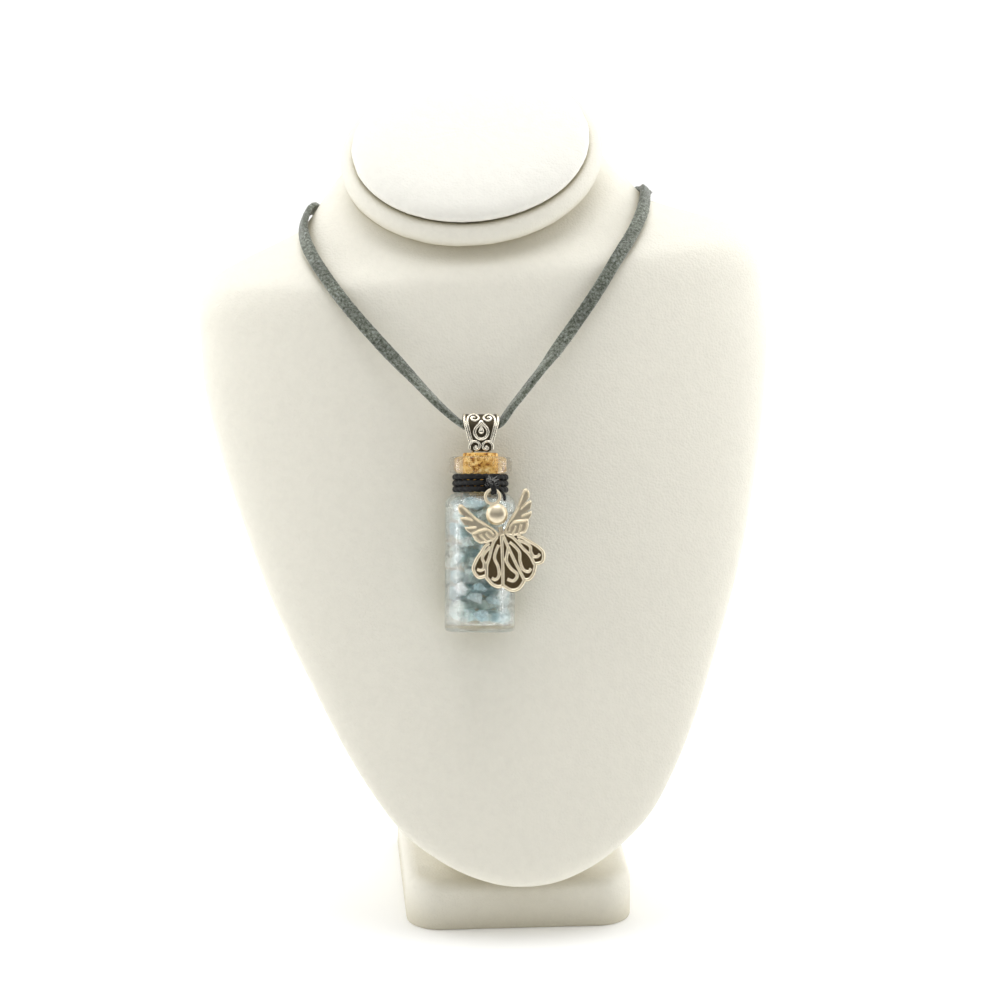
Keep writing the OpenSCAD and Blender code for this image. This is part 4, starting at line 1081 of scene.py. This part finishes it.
charm_parts = [plate(skirt + sided(skirt[1:-1][::-1], -1))]
for s in (-1, 1):
    charm_parts.append(plate(sided(wing, s)))
    charm_parts += [rib(sided(marks, s), half, charm_t + line_top - half)
                    for half, marks in lines]
charm_parts.append(rib(middle_curl, middle_rib, charm_t + 0.06))
head_r, head_y = 2.5, -2.0 - 2.5 + 0.4
charm_parts.append(ball((0, head_y, 0.55), (head_r, head_r, 0.52)))
charm_parts.append(ball((0, head_y, 0.85), (head_r - 0.32, head_r - 0.32, 1.02)))
charm_parts.append(bead([(0, -7.0 - 0.25 * k, 0.55) for k in range(9)], 0.5))
charm_parts.append(bead([(x, y, charm_t / 2) for x, y in arc_of((0, 0), ring_mid, 0, 352, 44)],
                        ring_wire / 2, closed=True))
charm = cast_from("angel_casting", charm_parts, charm_cell, charm_rounds)


def charm_height(co):
    """How polished the charm is: its ring, head, wings and raised lines are."""
    across, down = abs(co.x) / (charm_half * MM), -co.y / (charm_len * MM)
    line = min(1.0, max(0.0, (co.z / MM - charm_t - 0.02) / 0.24))
    if math.hypot(co.x, co.y) < (ring_mid + ring_wire / 2 + 0.1) * MM:
        return 0.9
    if math.hypot(co.x / MM, co.y / MM - head_y) < head_r - 0.3:
        return 0.85
    return max(line, 0.75) if down < 0.40 + 0.1 * across else line


mark_raised(charm, charm_height)
on_charm = (on_pendant @ Matrix.Translation(Vector((charm_x, charm_y + charm_t / 2, ring_z)) * MM)
            @ turned(90, "X") @ turned(14, "Z"))
charm.data.transform(on_charm)
warm_silver = silver_of("antique_silver_charm", (0.98, 0.87, 0.66), (0.13, 0.095, 0.05),
                        (0.022, 0.015, 0.009), 0.34, 0.62, 0.0009)
charm.data.materials.append(warm_silver)
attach(charm, "pendant")
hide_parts("angel_charm")

# Floor and light: a white table which glows, faintly near the bust and fully far off, as a
# painted bright backdrop; soft boxes on both sides, in front and overhead; and a dim room.
bpy.ops.object.select_all(action="DESELECT")
bpy.ops.mesh.primitive_plane_add(size=14, location=(0, 0, 0))
floor = bpy.context.object
floor.name = floor.data.name = "floor"
white, tree, shader = new_finish("white_table")
# Painted light: the table's glow rises from 0.1 within 0.9 m of the middle to full beyond 1.5 m.
far_off = node_of(tree, "VectorMath", {0: place_of(tree)}, operation="LENGTH")
backdrop_glow = node_of(tree, "MapRange", {"Value": far_off.outputs["Value"], "From Min": 0.9,
                                 "From Max": 1.5, "To Min": 0.10, "To Max": 1.0})
put(tree, shader, {"Base Color": (0.93, 0.93, 0.92), "Roughness": 0.9, "Specular IOR Level": 0.1,
                   "Emission Color": (1.0, 1.0, 0.99), "Emission Strength": backdrop_glow.outputs[0]})
floor.data.materials.append(white)


def soft_box(name, place, aim, size, power, colour):
    bpy.ops.object.light_add(type="AREA", location=place)
    box = bpy.context.object
    box.name = name
    box.data.shape = "RECTANGLE"
    box.data.size, box.data.size_y = size
    box.data.energy = power
    box.data.color = colour
    box.rotation_euler = (Vector(place) - Vector(aim)).to_track_quat("Z", "Y").to_euler()


off_white = (1.0, 1.0, 0.99)
for side, name in ((-1, "left"), (1, "right")):
    soft_box("box_front_" + name, (side * 0.95, -0.1, 0.5), (0, 0, 0.12), (0.9, 1.1),
             5.2 + 0.4 * side, off_white)
    soft_box("box_back_" + name, (side * 0.85, 0.5, 0.45), (0, 0, 0.12), (0.9, 0.9), 3.8,
             off_white)
soft_box("box_above", (0.0, 0.7, 1.4), (0, 0.1, 0.1), (2.4, 1.6), 14.0, (1.0, 1.0, 1.0))
soft_box("box_over", (0.0, 0.0, 1.3), (0, 0, 0.1), (0.9, 0.9), 7.6, (1.0, 1.0, 1.0))
soft_box("box_front", (0.0, -1.0, 1.2), (0, 0, 0.12), (1.6, 1.0), 3.8, off_white)
world = bpy.data.worlds.new("studio")
world.use_nodes = True
put(world.node_tree, world.node_tree.nodes["Background"], {0: (1.0, 0.98, 0.94), 1: 0.06})
bpy.context.scene.world = world

bpy.context.view_layer.update()
